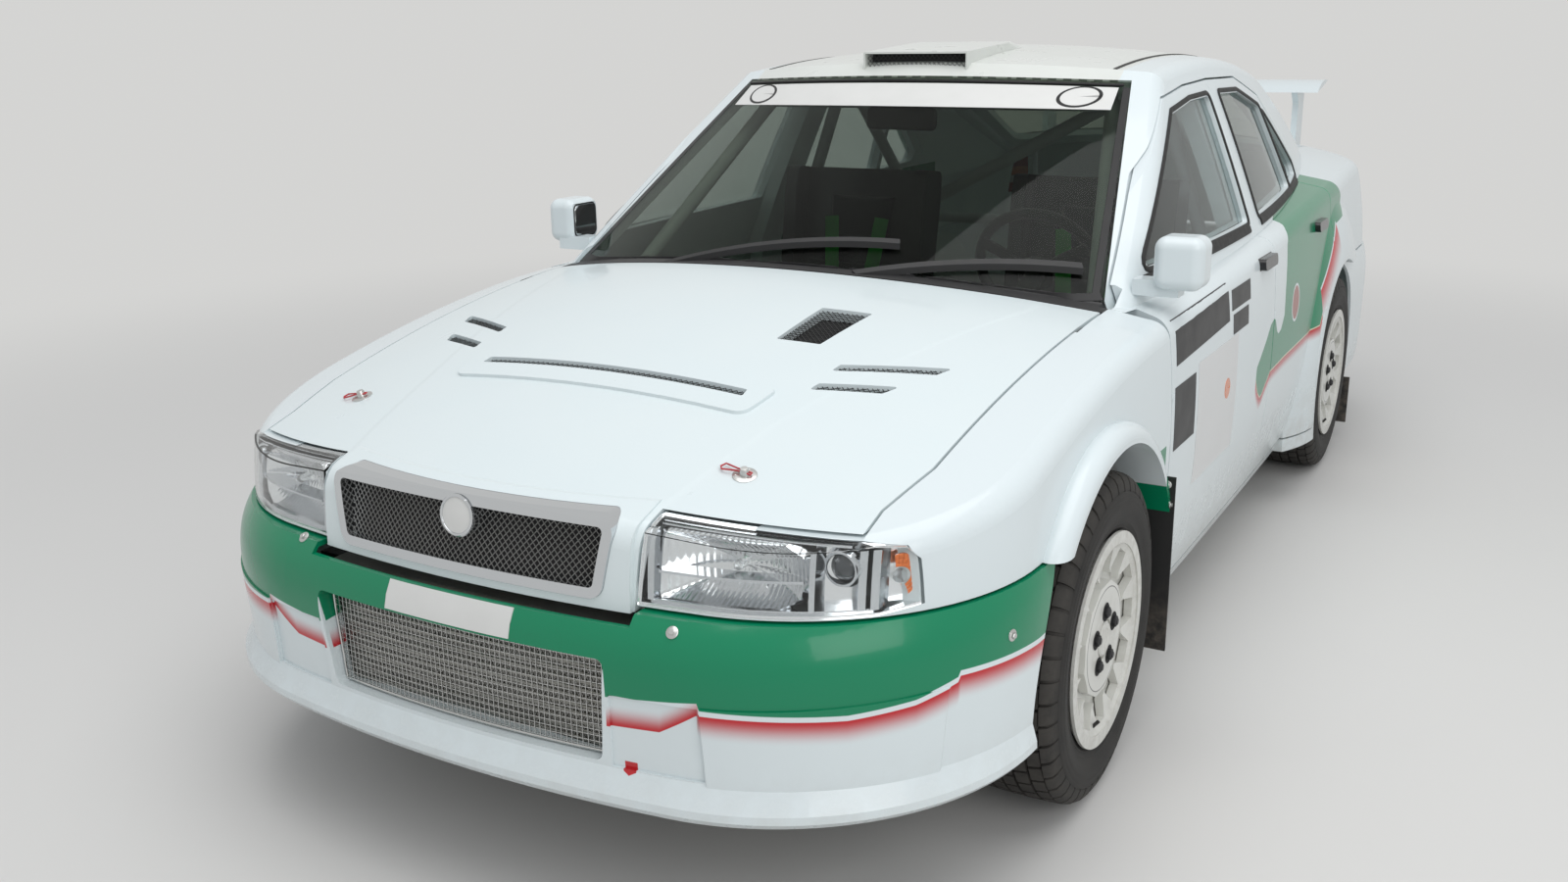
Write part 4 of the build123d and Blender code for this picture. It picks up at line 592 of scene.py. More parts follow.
# %% [markdown]
# ## Glass and lenses
#
# The windows are tinted, the side ones less than the others. Glass that bends light truly also stops
# the lamps' light in a path tracer, which would leave the cabin black, so the rays that carry lamp
# light pass straight through a tinted clear shader.

# %% Glass
glass = Finish("tinted_glass", (0.30, 0.34, 0.30), 0.0, Transmission_Weight=1.0, IOR=1.16)
glass.mottle((0.27, 0.31, 0.27), (0.33, 0.37, 0.33), 3, 5)
glass.lets_lamps_through((0.30, 0.33, 0.30))
dress(["windscreen", "tailgate_glass"], glass)

side_glass = Finish("side_glass", (0.62, 0.68, 0.68), 0.0, Transmission_Weight=1.0, IOR=1.3)
side_glass.mottle((0.56, 0.62, 0.62), (0.66, 0.72, 0.72), 3, 5)
side_glass.lets_lamps_through((0.55, 0.60, 0.60))
dress([f"{end}_door_glass_{hand}" for end in ENDS for hand in SIDES], side_glass)

lens = Finish("lamp_lens", (0.96, 0.975, 0.98), 0.02, Transmission_Weight=1.0, IOR=1.35)
lens.worn(0.0, 0.06, 60, 5)
lens.lets_lamps_through((0.93, 0.95, 0.95))
dress(["headlamp_lenses"], lens)
print("glass dressed")

# %% [markdown]
# ## Metal, plastic and rubber
#
# Bare parts show their making: cast grit, brushed streaks, scuffs. Each finish below is a colour, or
# a few near shades, with a pattern of the right scale in its roughness, its relief or both.

# %% Metal
reflector = Finish("lamp_reflector", (0.84, 0.85, 0.86), 0.12, 1.0)
reflector.worn(0.08, 0.25, 70, 3)
dress(["headlamps"], reflector)

chrome = Finish("chrome", (0.66, 0.68, 0.70), 0.08, 1.0)
chrome.worn(0.05, 0.16, 25, 6)
dress(["grille"], chrome)

steel = Finish("black_steel", (0.05, 0.05, 0.052), 0.45, 0.6)
steel.worn(0.35, 0.65, 30)
steel.grain(250, 3, 0.0003, 0.4)
dress(["front_beam", "front_subframe", "rear_axle", "front_knuckle_left", "front_knuckle_right"], steel)

bare_metal = Finish("bare_metal", (0.42, 0.42, 0.40), 0.4, 0.9)
bare_metal.worn(0.3, 0.6, 40)
bare_metal.bump(bare_metal.noise(160, 5, 0.6, (1, 8, 1)), 0.0003, 0.4)
bare_metal.mottle((0.46, 0.46, 0.44), (0.26, 0.25, 0.22), 7, 7)
dress(["intercooler", "engine_block", "sump_guard", "exhaust"], bare_metal)

bright_metal = Finish("bright_metal", (0.62, 0.62, 0.61), 0.3, 1.0)
bright_metal.worn(0.22, 0.42, 90, 4)

dark_wire = Finish("dark_mesh_wire", (0.03, 0.03, 0.03), 0.45, 0.3)
dark_wire.worn(0.35, 0.6, 200, 2)

inner_paint = Finish("inner_enamel", (0.62, 0.65, 0.65), 0.5)
inner_paint.worn(0.4, 0.7, 12)
floor_dust = inner_paint.both(
    inner_paint.below(inner_paint.z, 0.28, 0.2), inner_paint.patches(9, 8, 0.55, 0.5, 0.3)
)
inner_paint.color(inner_paint.mix(floor_dust, (0.60, 0.63, 0.63), (0.24, 0.21, 0.17)))
dress(["floor_pan", "rear_beam", "roll_cage"], inner_paint)
print("metal dressed")

# %% Plastic, rubber and cloth
black_plastic = Finish("black_plastic", (0.018, 0.018, 0.019), 0.5)
black_plastic.grain(900, 2, 0.0002, 0.5)
black_plastic.worn(0.4, 0.65, 18, 5)
dress(["cowl_panel", "wipers", "dashboard", "steering_column"], black_plastic)

suede = Finish("suede_rim", (0.02, 0.02, 0.021), 0.95, Sheen_Weight=0.4)
suede.grain(1500, 3, 0.0003, 0.8)
dress(["steering_wheel"], suede)

FLAP_BLACK = (0.014, 0.014, 0.014)
flap_rubber = Finish("flap_rubber", FLAP_BLACK, 0.6)
flap_dust = flap_rubber.both(
    flap_rubber.below(flap_rubber.z, 0.26, 0.16), flap_rubber.patches(26, 8, 0.7, 0.5, 0.3)
)
flap_rubber.color(flap_rubber.mix(flap_dust, FLAP_BLACK, (0.10, 0.085, 0.07)))
flap_rubber.grain(300, 4, 0.0004, 0.5)
dress(["mud_flaps"], flap_rubber)

seat_shell = Finish("seat_shell", (0.02, 0.021, 0.024), 0.35, Coat_Weight=0.3)
shell_weave = seat_shell.weave(seat_shell.z, 0.012, seat_shell.x, 0.012)
seat_shell.color(seat_shell.mix(shell_weave, (0.018, 0.018, 0.020), (0.026, 0.026, 0.029)))
dress(["driver_seat", "codriver_seat"], seat_shell)

# Painted shade: near-black sheets and discs that stand for the shade in openings, behind mesh and in deep
# seats.
painted_shade_black = Finish("painted_shade_black", (0.008, 0.008, 0.009), 0.8)
painted_shade_black.worn(0.7, 0.9, 30)

seal_rubber = Finish("seal_rubber", (0.012, 0.012, 0.012), 0.55)
seal_rubber.worn(0.45, 0.7, 60)
print("plastic and rubber dressed")

# %% Stickers
sticker_white = Finish("sticker_white", (0.68, 0.68, 0.66), 0.35)
sticker_white.mottle((0.64, 0.64, 0.62), (0.72, 0.72, 0.70), 12, 6)
sticker_black = Finish("sticker_black", (0.010, 0.010, 0.011), 0.4, Specular_IOR_Level=0.3)
sticker_black.worn(0.25, 0.45, 15, 5)
sticker_red = Finish("sticker_red", (0.45, 0.02, 0.03), 0.35, Coat_Weight=0.3)
sticker_red.worn(0.25, 0.45, 15, 5)
door_sticker = Finish("door_sticker", (0.68, 0.68, 0.67), 0.35)
door_sticker.mottle((0.66, 0.665, 0.66), (0.71, 0.715, 0.71), 5, 6)
print("finishes", len(bpy.data.materials))

# %% [markdown]
# ## Shape tools
#
# The added trim is made of a few kinds of form: tubes, turned parts, flat plates with small bevels,
# strips that follow a panel, and thin films that lie on one. Modifiers could make some of them, but
# plain points and faces are easier to aim, since each piece has to lie exactly on a packed panel.
# Rays dropped on the panel give that place.

# %% Outlines
def spaced(low, high, parts):
    """Evenly spaced numbers, with both ends."""
    return [low + (high - low) * part / parts for part in range(parts + 1)]


def inset(outline, distance):
    """A closed outline moved inwards by a distance."""
    corners = [Vector(point) for point in outline]
    area = sum(a.x * b.y - b.x * a.y for a, b in zip(corners, corners[1:] + corners[:1]))
    side = 1 if area > 0 else -1
    moved = []
    for index, corner in enumerate(corners):
        into = (corner - corners[index - 1]).normalized()
        out = (corners[(index + 1) % len(corners)] - corner).normalized()
        first, second = Vector((-into.y, into.x)) * side, Vector((-out.y, out.x)) * side
        moved.append(tuple(corner + (first + second) * distance / max(0.3, 1 + first.dot(second))))
    return moved


def rounded(outline, radius, steps=5):
    """A closed outline with its corners rounded."""
    corners = [Vector(point) for point in outline]
    result = []
    for index, corner in enumerate(corners):
        back, on = corners[index - 1] - corner, corners[(index + 1) % len(corners)] - corner
        half = back.angle(on) / 2
        reach = min(radius / math.tan(half), back.length * 0.45, on.length * 0.45)
        start, end = corner + back.normalized() * reach, corner + on.normalized() * reach
        for t in spaced(0, 1, steps):
            result.append(tuple(start * (1 - t) ** 2 + corner * 2 * t * (1 - t) + end * t ** 2))
    return result


def four_sided(half_width, low, high):
    """A rectangle about the middle line, as a closed outline."""
    return [(-half_width, low), (half_width, low), (half_width, high), (-half_width, high)]


def centred_outline(half_width, half_height, corner):
    """A rectangle with rounded corners about a middle point."""
    return rounded(four_sided(half_width, -half_height, half_height), corner, 6)


def divided(outline, longest, closed=True):
    """An outline with long sides divided into short ones."""
    corners = [Vector(point) for point in outline]
    ends = corners[1:] + corners[:1] if closed else corners[1:]
    result = []
    for start, end in zip(corners, ends):
        parts = max(1, math.ceil((end - start).length / longest))
        result += [tuple(start.lerp(end, part / parts)) for part in range(parts)]
    return result if closed else result + [tuple(corners[-1])]


def circle(radius, steps, centre=(0, 0)):
    """A round closed outline."""
    turns = [2 * math.pi * step / steps for step in range(steps)]
    return [(centre[0] + radius * math.cos(turn), centre[1] + radius * math.sin(turn)) for turn in turns]


def around(radius, turn, out):
    """A point at an angle round a place's own Z."""
    return Vector((radius * math.cos(turn), radius * math.sin(turn), out))


def section(half):
    """A strip's symmetrical section, from the (across, outward) points of its far half."""
    return [(-across, outward) for across, outward in half] + half[::-1]


def dome(radius, rise, height, last=90, step=15):
    """The profile of a round end, from its top down to an angle."""
    turns = [math.radians(angle) for angle in range(0, last + 1, step)]
    return [(radius * math.sin(turn), height + rise * math.cos(turn)) for turn in turns]


def between_lines(first, second, longest=0.03):
    """Rows of points between two lines with the same number of points."""
    first = [Vector(point) for point in first]
    second = [Vector(point) for point in second]
    gap = max((a - b).length for a, b in zip(first, second))
    rows = max(1, math.ceil(gap / longest))
    return [[a.lerp(b, row / rows) for a, b in zip(first, second)] for row in range(rows + 1)]


print("outline tools ready")

# %% Shapes
MERGE_DISTANCE = 2e-5
THINNEST_FACE = 1e-6


class Shape:
    """Points and faces gathered for one piece."""

    def __init__(self):
        self.points = []
        self.faces = []

    def add(self, points, faces):
        """Adds points, and faces that count from the first of them."""
        start = len(self.points)
        self.points += [tuple(point) for point in points]
        self.faces += [tuple(start + index for index in face) for face in faces]

    def rows(self, rows, ring=False, loop=False, caps=False):
        """Quads between rows of points. A ring closes each row, a loop joins the last row to the first."""
        width = len(rows[0])
        faces = []
        for row in range(len(rows) if loop else len(rows) - 1):
            below_row, next_row = row * width, (row + 1) % len(rows) * width
            for step in range(width if ring else width - 1):
                after = (step + 1) % width
                faces.append((below_row + step, below_row + after, next_row + after, next_row + step))
        if caps:
            faces.append(tuple(range(width))[::-1])
            faces.append(tuple(range((len(rows) - 1) * width, len(rows) * width)))
        self.add([point for row in rows for point in row], faces)

    def sheet(self, front, back):
        """A thin closed slab from two grids of points, one in front of the other."""
        last = len(front[0]) - 1
        self.rows(front)
        self.rows([row[::-1] for row in back])
        for a, b in ((front[0], back[0]), (back[-1], front[-1])):
            self.rows([b, a])
        for step in (0, last):
            self.rows([[row[step] for row in front], [row[step] for row in back]])

    def tube(self, path, radius, sides=6, closed=False):
        """A round tube along points."""
        path = [Vector(point) for point in path]
        count = len(path)
        turns = [2 * math.pi * step / sides for step in range(sides)]
        rings = []
        side = None
        for index, point in enumerate(path):
            before = path[index - 1] if closed or index else point
            after = path[(index + 1) % count] if closed or index < count - 1 else point
            along = (after - before).normalized()
            if side is None:
                side = along.orthogonal().normalized()
            side = (side - along * side.dot(along)).normalized()
            other = along.cross(side)
            rings.append([point + (side * math.cos(t) + other * math.sin(t)) * radius for t in turns])
        self.rows(rings, ring=True, loop=closed, caps=not closed)

    def turned(self, profile, place, steps=32):
        """A closed profile of (radius, height) turned about a place's own Z."""
        rings = []
        for step in range(steps):
            turn = 2 * math.pi * step / steps
            rings.append([place @ Vector((r * math.cos(turn), r * math.sin(turn), h)) for r, h in profile])
        self.rows(rings, ring=True, loop=True)

    def plate(self, outline, low, high, place, bevel=0.0006):
        """A flat plate with small bevels, its outline in a place's XY."""
        inner = inset(outline, bevel)
        levels = [(inner, low), (outline, low + bevel), (outline, high - bevel), (inner, high)]
        rings = [[place @ Vector((u, v, h)) for u, v in ring] for ring, h in levels]
        self.rows(rings, ring=True, caps=True)

    def strip(self, dropped, profile, closed=False):
        """A strip along dropped (point, normal) pairs, its profile in (across, outward) offsets."""
        count = len(dropped)
        rings = []
        for index, (point, normal) in enumerate(dropped):
            before = dropped[index - 1][0] if closed or index else point
            after = dropped[(index + 1) % count][0] if closed or index < count - 1 else point
            across = normal.cross(after - before).normalized()
            rings.append([point + across * a + normal * h for a, h in profile])
        self.rows(rings, ring=True, loop=closed, caps=not closed)

    def save(self, name, finish, body, slot, smooth=35):
        """Makes the piece, dresses it, and lets it ride on a body."""
        mesh = bpy.data.meshes.new(name)
        mesh.from_pydata(self.points, [], self.faces)
        work = bmesh.new()
        work.from_mesh(mesh)
        bmesh.ops.remove_doubles(work, verts=work.verts, dist=MERGE_DISTANCE)
        bmesh.ops.dissolve_degenerate(work, edges=work.edges, dist=THINNEST_FACE)
        bmesh.ops.recalc_face_normals(work, faces=work.faces)
        work.to_mesh(mesh)
        work.free()
        mesh.shade_smooth()
        mesh.set_sharp_from_angle(angle=math.radians(smooth))
        mesh.materials.append(finish.material)
        piece = bpy.data.objects.new(name, mesh)
        bpy.context.collection.objects.link(piece)
        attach(piece, body)
        return piece


print("shapes ready")

# %% Rays, films and wires
FROM_FRONT, FROM_BACK, FROM_ABOVE = (0, 1, 0), (0, -1, 0), (0, 0, -1)
BEFORE, BEHIND, ABOVE, BESIDE = -3, 3, 2, 1.5


def skin(*nodes):
    """CAD meshes that rays can be dropped on."""
    points, faces = [], []
    for name in nodes:
        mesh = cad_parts[name].data
        start = len(points)
        points += [vertex.co.copy() for vertex in mesh.vertices]
        faces += [[start + index for index in polygon.vertices] for polygon in mesh.polygons]
    return BVHTree.FromPolygons(points, faces)


def drop(tree, origin, ray):
    """Where a ray meets a skin, and the normal there, turned to face the ray."""
    place, normal, _, _ = tree.ray_cast(Vector(origin), Vector(ray))
    if place is None:
        place, normal, _, _ = tree.find_nearest(Vector(origin))
    return place, normal if normal.dot(Vector(ray)) < 0 else -normal


def side_drop(tree, side, y, z):
    """Where a ray from beside the car meets a skin."""
    return drop(tree, (side * BESIDE, y, z), (-side, 0, 0))


def film(shape, tree, rows, ray, lift=0.0008):
    """A thin film on a skin, from rows of ray starts."""
    hits = [[drop(tree, origin, ray) for origin in row] for row in rows]
    front = [[point + normal * lift for point, normal in row] for row in hits]
    back = [[point + normal * lift * 0.25 for point, normal in row] for row in hits]
    shape.sheet(front, back)


def disc_rows(centre, radius, across, upward, steps=32, rings=3):
    """Rings of ray starts over a round place."""
    centre, across, upward = Vector(centre), Vector(across), Vector(upward)
    rim = circle(radius, steps) + [(radius, 0)]
    return [
        [centre + (across * u + upward * v) * (ring + 0.02) / rings for u, v in rim]
        for ring in range(rings + 1)
    ]


def wires(shape, outline, pitch, angles, surface, radius, bend=0.03):
    """Straight wires that cross inside an outline, laid on a surface(u, v, height)."""
    corners = [Vector(point) for point in outline]
    for layer, angle in enumerate(angles):
        along = Vector((math.cos(angle), math.sin(angle)))
        across = Vector((-along.y, along.x))
        lift = radius * 0.8 * (1 if layer else -1)
        offsets = [corner.dot(across) for corner in corners]
        row = math.ceil(min(offsets) / pitch)
        while row * pitch < max(offsets):
            cuts = []
            for start, end in zip(corners, corners[1:] + corners[:1]):
                low, high = start.dot(across) - row * pitch, end.dot(across) - row * pitch
                if low * high < 0:
                    cuts.append((start + (end - start) * low / (low - high)).dot(along))
            cuts.sort()
            for first, last in zip(cuts[::2], cuts[1::2]):
                parts = max(1, math.ceil((last - first) / bend))
                spots = [across * row * pitch + along * reach for reach in spaced(first, last, parts)]
                shape.tube([surface(spot.x, spot.y, lift) for spot in spots], radius, 4)
            row += 1


def facing(point, normal, up_hint=(0, 0, 1)):
    """A place at a point whose Z is the normal and whose Y is as near up as it can be."""
    normal = Vector(normal).normalized()
    across = Vector(up_hint).cross(normal).normalized()
    upward = normal.cross(across)
    return Matrix.Translation(point) @ Matrix((across, upward, normal)).transposed().to_4x4()


def washer_bolt(shape, place, size=0.0055):
    """A hexagon bolt on a round washer."""
    washer = [(0, 0), (1.9, 0), (1.9, 0.25), (1.6, 0.45), (0, 0.45)]
    shape.turned([(radius * size, height * size) for radius, height in washer], place, 20)
    shape.plate(circle(size, 6), size * 0.3, size * 1.25, place, size * 0.15)


CROSSED = (math.radians(45), math.radians(-45))
print("ray tools ready")

# %% [markdown]
# ## Grille
#
# The chrome frame holds a woven wire mesh in front of a near-black sheet, painted shade that stands
# for the dark space behind the grille. A see-through pattern on a flat sheet would have no thickness at
# a glancing view, so each wire is a thin four-sided tube that runs from edge to edge, bent to the curve
# of the nose. The round boss is left plain, with a bright rim.

# %% Grille mesh
GRILLE_OUTLINE = [(-0.302, 0.728), (0.302, 0.728), (0.276, 0.615), (-0.276, 0.615)]
GRILLE_SHADE_OUTLINE = [(-0.318, 0.738), (0.318, 0.738), (0.292, 0.602), (-0.292, 0.602)]
MESH_CORNER = 0.02
MESH_PITCH = 0.0088
MESH_WIRE = 0.00085
MESH_ANGLES = (math.radians(47), math.radians(-47))
MESH_MIDDLE_Y, MESH_CURVE, MESH_TOP, MESH_LEAN = -2.159, 0.30, 0.738, 0.26
GRILLE_SHADE_DEPTHS = (0.022, 0.026)

wire = Finish("mesh_wire", (0.30, 0.30, 0.29), 0.35, 0.8)
wire.worn(0.25, 0.5, 200, 2)


def grille_face(x, z, lift):
    """The mesh's own curved sheet."""
    return Vector((x, MESH_MIDDLE_Y + MESH_CURVE * x * x - (MESH_TOP - z) * MESH_LEAN - lift, z))


mesh = Shape()
wires(mesh, rounded(GRILLE_OUTLINE, MESH_CORNER), MESH_PITCH, MESH_ANGLES, grille_face, MESH_WIRE)
mesh.save("grille_mesh", wire, "bonnet", "grille_metal")
# Painted shade: a near-black sheet behind the mesh stands for the dark space behind the grille.
panel = Shape()
grille_shade_rows = between_lines(
    divided(GRILLE_SHADE_OUTLINE[:2], 0.04, False), divided(GRILLE_SHADE_OUTLINE[:1:-1], 0.0368, False), 0.04,
)
panel.sheet(*[[[grille_face(p.x, p.y, -depth) for p in row] for row in grille_shade_rows] for depth in GRILLE_SHADE_DEPTHS])
panel.save("grille_shade_sheet", painted_shade_black, "bonnet", "black_plastic")
print("grille wires", len(mesh.faces), "faces")

# %% Grille roundel
ROUNDEL_HEIGHT = 0.700
RIM_PROFILE = [
    (0.0305, 0.0), (0.0365, 0.0), (0.0365, 0.0025), (0.0345, 0.0042), (0.0315, 0.0035), (0.0305, 0.0018),
]
DISC_PROFILE = [(0, 0.0002), (0.0306, 0.0002), (0.0306, 0.0016), (0.016, 0.0030), (0, 0.0034)]

roundel_seat = facing(*drop(skin("grille"), (0, BEFORE, ROUNDEL_HEIGHT), FROM_FRONT))
for name, profile, finish in (("rim", RIM_PROFILE, chrome), ("disc", DISC_PROFILE, sticker_white)):
    roundel = Shape()
    roundel.turned(profile, roundel_seat, 48)
    roundel.save(f"grille_roundel_{name}", finish, "bonnet", "grille_metal")
print("roundel at", [round(v, 3) for v in roundel_seat.translation])

# %% [markdown]
# ## Intercooler and mouth guard
#
# Behind the bumper's mouth stands the charge cooler: flat tubes lie one above the other, with folded
# fins between them, and a square wire guard keeps stones off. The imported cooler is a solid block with
# tanks, so the tubes and fins stand just proud of its front. The fins are one folded strip per row,
# which gives the fine vertical texture.

# %% Intercooler
COOLER_FACE = -2.175
COOLER_HALF = 0.294
COOLER_FOOT = 0.310
TUBE_COUNT = 17
TUBE_PITCH = 0.015
TUBE_HALF_HEIGHT = 0.0028
FIN_PITCH = 0.0075
FIN_FOLDS = 158
FIN_LOW, FIN_HIGH = 0.0031, 0.0119
FIN_THICKNESS = Vector((0.0005, 0, 0))

tubes, fins = Shape(), Shape()
tube_outline = rounded(four_sided(COOLER_HALF + 0.002, -TUBE_HALF_HEIGHT, TUBE_HALF_HEIGHT), 0.002, 2)
for row in range(TUBE_COUNT):
    z = COOLER_FOOT + row * TUBE_PITCH
    tubes.plate(tube_outline, -0.001, 0.005, facing((0, COOLER_FACE, z), (0, -1, 0)), 0.0008)
    if row < TUBE_COUNT - 1:
        fold = [
            (-COOLER_HALF + step * FIN_PITCH / 2, z + (FIN_LOW if step % 2 else FIN_HIGH))
            for step in range(FIN_FOLDS)
        ]
        front = [[Vector((x, COOLER_FACE - proud, h)) for x, h in fold] for proud in (0.0035, 0.0002)]
        fins.sheet(front, [[point + FIN_THICKNESS for point in line] for line in front])
tubes.save("intercooler_tubes", bare_metal, "body", "aluminium")
fins.save("intercooler_fins", bright_metal, "body", "aluminium")
print("cooler", len(tubes.faces) + len(fins.faces), "faces")

# %% Mouth guard
GUARD_OUTLINE = [(-0.311, 0.513), (0.311, 0.513), (0.293, 0.342), (-0.293, 0.342)]
GUARD_MIDDLE_Y, GUARD_CURVE = -2.216, 0.20
GUARD_PITCH = 0.0105
GUARD_WIRE = 0.0008
GUARD_EDGE = 0.0022


def guard_face(x, z, lift):
    """The mouth guard's own curved sheet."""
    return Vector((x, GUARD_MIDDLE_Y + GUARD_CURVE * x * x - lift, z))


guard = Shape()
wires(guard, GUARD_OUTLINE, GUARD_PITCH, (0, math.radians(90)), guard_face, GUARD_WIRE, 0.06)
guard.tube([guard_face(u, v, 0) for u, v in divided(GUARD_OUTLINE, 0.04)], GUARD_EDGE, 6, True)
guard.save("mouth_guard", bright_metal, "body", "steel")
print("guard", len(guard.faces), "faces")

# %% [markdown]
# ## Headlamps
#
# Each lamp is a box of mirrors behind a clear lens: a wide scooped reflector with a bulb and a shelf,
# a projector with a bright ring, and an indicator with amber facets at the outer end. The reflector
# is a bowl, so it is built as shrinking copies of its own outline that go deeper towards the middle.
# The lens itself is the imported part.

# %% Headlamp bowl
BOWL = [
    (0.372, 0.604), (0.560, 0.604), (0.592, 0.622), (0.604, 0.655), (0.596, 0.690), (0.566, 0.706),
    (0.378, 0.715),
]
BOWL_HEART = Vector((0.485, 0.655))
BOWL_RIM_DEPTH = 0.020
BOWL_DEPTH = 0.062
BOWL_RINGS = 9
BOWL_END = 0.94
BOWL_WALL = Vector((0, 0.002, 0))
FLANGE_SIZE, FLANGE_DEPTH = 1.085, 0.009

fluted = Finish("fluted_reflector", (0.80, 0.81, 0.82), 0.12, 1.0)
fluted.bump(fluted.ribs(fluted.x, 0.009), 0.0007, 0.6)
lens_skin = skin("headlamp_lenses")


def behind_lens(side, x, z, depth):
    """A point some way behind the lens's face."""
    face, _ = drop(lens_skin, (side * x, BEFORE, z), FROM_FRONT)
    return Vector((side * x, face.y + depth, z))


def bowl_rows(side):
    """Copies of the bowl's outline, from its flange inwards, as rows of points."""
    edge = divided(rounded(BOWL, 0.012, 4), 0.016)
    levels = [(FLANGE_SIZE, BOWL_RIM_DEPTH + FLANGE_DEPTH), (1.0, BOWL_RIM_DEPTH)]
    for ring in range(1, BOWL_RINGS + 1):
        size = 1 - ring / BOWL_RINGS * BOWL_END
        levels.append((size, BOWL_RIM_DEPTH + BOWL_DEPTH * (1 - size ** 2)))
    rows = []
    for size, depth in levels:
        spots = [BOWL_HEART + (Vector(corner) - BOWL_HEART) * size for corner in edge]
        rows.append([behind_lens(side, spot.x, spot.y, depth) for spot in spots])
    return rows


def lamp_bowl(side):
    """The wide reflector, a bowl with a thin wall."""
    bowl = Shape()
    rows = bowl_rows(side)
    lifted = [[point + BOWL_WALL for point in row] for row in rows]
    bowl.rows(rows, ring=True)
    bowl.rows(lifted[::-1], ring=True)
    bowl.rows([lifted[0], rows[0]], ring=True)
    bowl.add(rows[-1], [tuple(range(len(rows[-1])))])
    bowl.add(lifted[-1], [tuple(range(len(rows[-1])))[::-1]])
    return bowl


print("bowl", round(BOWL_DEPTH * 1000), "mm deep")

# %% Headlamp trim
SHELVES = [
    ((0.374, 0.652), (0.600, 0.652), 0.0022),
    ((0.366, 0.722), (0.660, 0.7045), 0.0026),
    ((0.360, 0.6035), (0.690, 0.6035), 0.0026),
]
SHELF_DEPTHS = (0.014, 0.050)
POSTS = [(0.3555, 0.3665, 0.718), (0.608, 0.616, 0.699), (0.671, 0.681, 0.699), (0.687, 0.697, 0.699)]
POST_DEPTHS = (0.012, 0.045)
POST_FOOT = 0.604
BEZELS = [((0.602, 0.676), (0.604, 0.702)), ((0.695, 0.728), (0.606, 0.692))]
BEZEL_DEPTHS = (0.046, 0.049)


def lamp_trim(side):
    """The bright shelves and posts round the reflectors."""
    trim = Shape()
    for start, end, thick in SHELVES:
        line = [Vector(start).lerp(Vector(end), t) for t in spaced(0, 1, 8)]
        grids = [
            [[behind_lens(side, *spot, depth) + Vector((0, 0, h)) for spot in line] for depth in SHELF_DEPTHS]
            for h in (-thick, thick)
        ]
        trim.sheet(*grids)
    for x_low, x_high, top in POSTS:
        line = spaced(POST_FOOT, top, 6)
        grids = [
            [[behind_lens(side, x, z, depth) for z in line] for depth in POST_DEPTHS] for x in (x_low, x_high)
        ]
        trim.sheet(*grids)
    return trim


def lamp_bezel(side):
    """The plates behind the projector and the indicator."""
    bezel = Shape()
    for x_span, z_span in BEZELS:
        grids = [
            [[behind_lens(side, x, z, depth) for x in spaced(*x_span, 6)] for z in spaced(*z_span, 2)]
            for depth in BEZEL_DEPTHS
        ]
        bezel.sheet(*grids)
    return bezel


print("lamp shelves", len(SHELVES), "and posts", len(POSTS))

# %% Projector and bulbs
LAMP_FLOOR = 0.046
EYE_PLACE = (0.642, 0.668)
EYE_RADIUS = 0.029
EYE_RING = [(0.80, 0), (1.14, 0), (1.14, 0.008), (1.0, 0.018), (0.86, 0.018), (0.80, 0.010)]
EYE_GLASS = 0.84
BULB_PLACE = (0.488, 0.664)
BULB_DEPTH = 0.078
TURN_PLACE = (0.714, 0.650)

lamp_dark = Finish("projector_eye", (0.03, 0.035, 0.04), 0.03, Coat_Weight=1.0, Coat_Roughness=0.02)
lamp_dark.worn(0.02, 0.08, 80, 3)
bulb_glass = Finish("bulb_glass", (0.9, 0.92, 0.92), 0.03, Transmission_Weight=0.9, IOR=1.4, Coat_Weight=0.5)
bulb_glass.worn(0.02, 0.08, 80, 3)


def lamp_seat(side, place, depth):
    """A place behind the lens that faces forwards."""
    return facing(behind_lens(side, *place, depth), (0, -1, 0))


def projector_ring(side):
    """The bright ring round the projector's eye."""
    ring = Shape()
    profile = [(EYE_RADIUS * share, height) for share, height in EYE_RING]
    ring.turned(profile, lamp_seat(side, EYE_PLACE, LAMP_FLOOR), 40)
    return ring


def projector_eye(side):
    """The projector's dark domed lens."""
    eye = Shape()
    profile = dome(EYE_RADIUS * EYE_GLASS, 0.017, 0.002, step=10) + [(0, 0.001)]
    eye.turned(profile, lamp_seat(side, EYE_PLACE, LAMP_FLOOR), 40)
    return eye


def lamp_bulbs(side):
    """The headlamp's capsule and the indicator's ball."""
    bulbs = Shape()
    capsule = dome(0.008, 0.008, 0.030) + [(0.008, 0.004), (0, 0.004)]
    bulbs.turned(capsule, lamp_seat(side, BULB_PLACE, BULB_DEPTH), 24)
    ball = dome(0.012, 0.012, 0.016, 135) + [(0.008, 0.001), (0, 0.001)]
    bulbs.turned(ball, lamp_seat(side, TURN_PLACE, LAMP_FLOOR), 24)
    return bulbs


print("projector", round(EYE_RADIUS * 2000), "mm across")

# %% Indicator facets
FACET_RINGS = [(0.0130, 0.0150), (0.0165, 0.0215), (0.0195, 0.0285), (0.0220, 0.0360)]
FACET_GAP = 0.0006
FACET_TURNS = range(-50, 115, 15)
FACET_LEANS = (-6.5, 0, 6.5)
FACET_DEPTHS = (0.026, 0.031)

amber = Finish("amber_facets", (0.75, 0.16, 0.01), 0.15, 0.3, Coat_Weight=0.6)
amber.bump(amber.weave(amber.z, 0.008, amber.x, 0.008), 0.001, 0.6)


def around_bulb(side, size, angle, depth):
    """A point behind the lens on an oval round the indicator's bulb."""
    x, z = TURN_PLACE[0] + size[0] * math.cos(angle), TURN_PLACE[1] + size[1] * math.sin(angle)
    return behind_lens(side, x, z, depth)


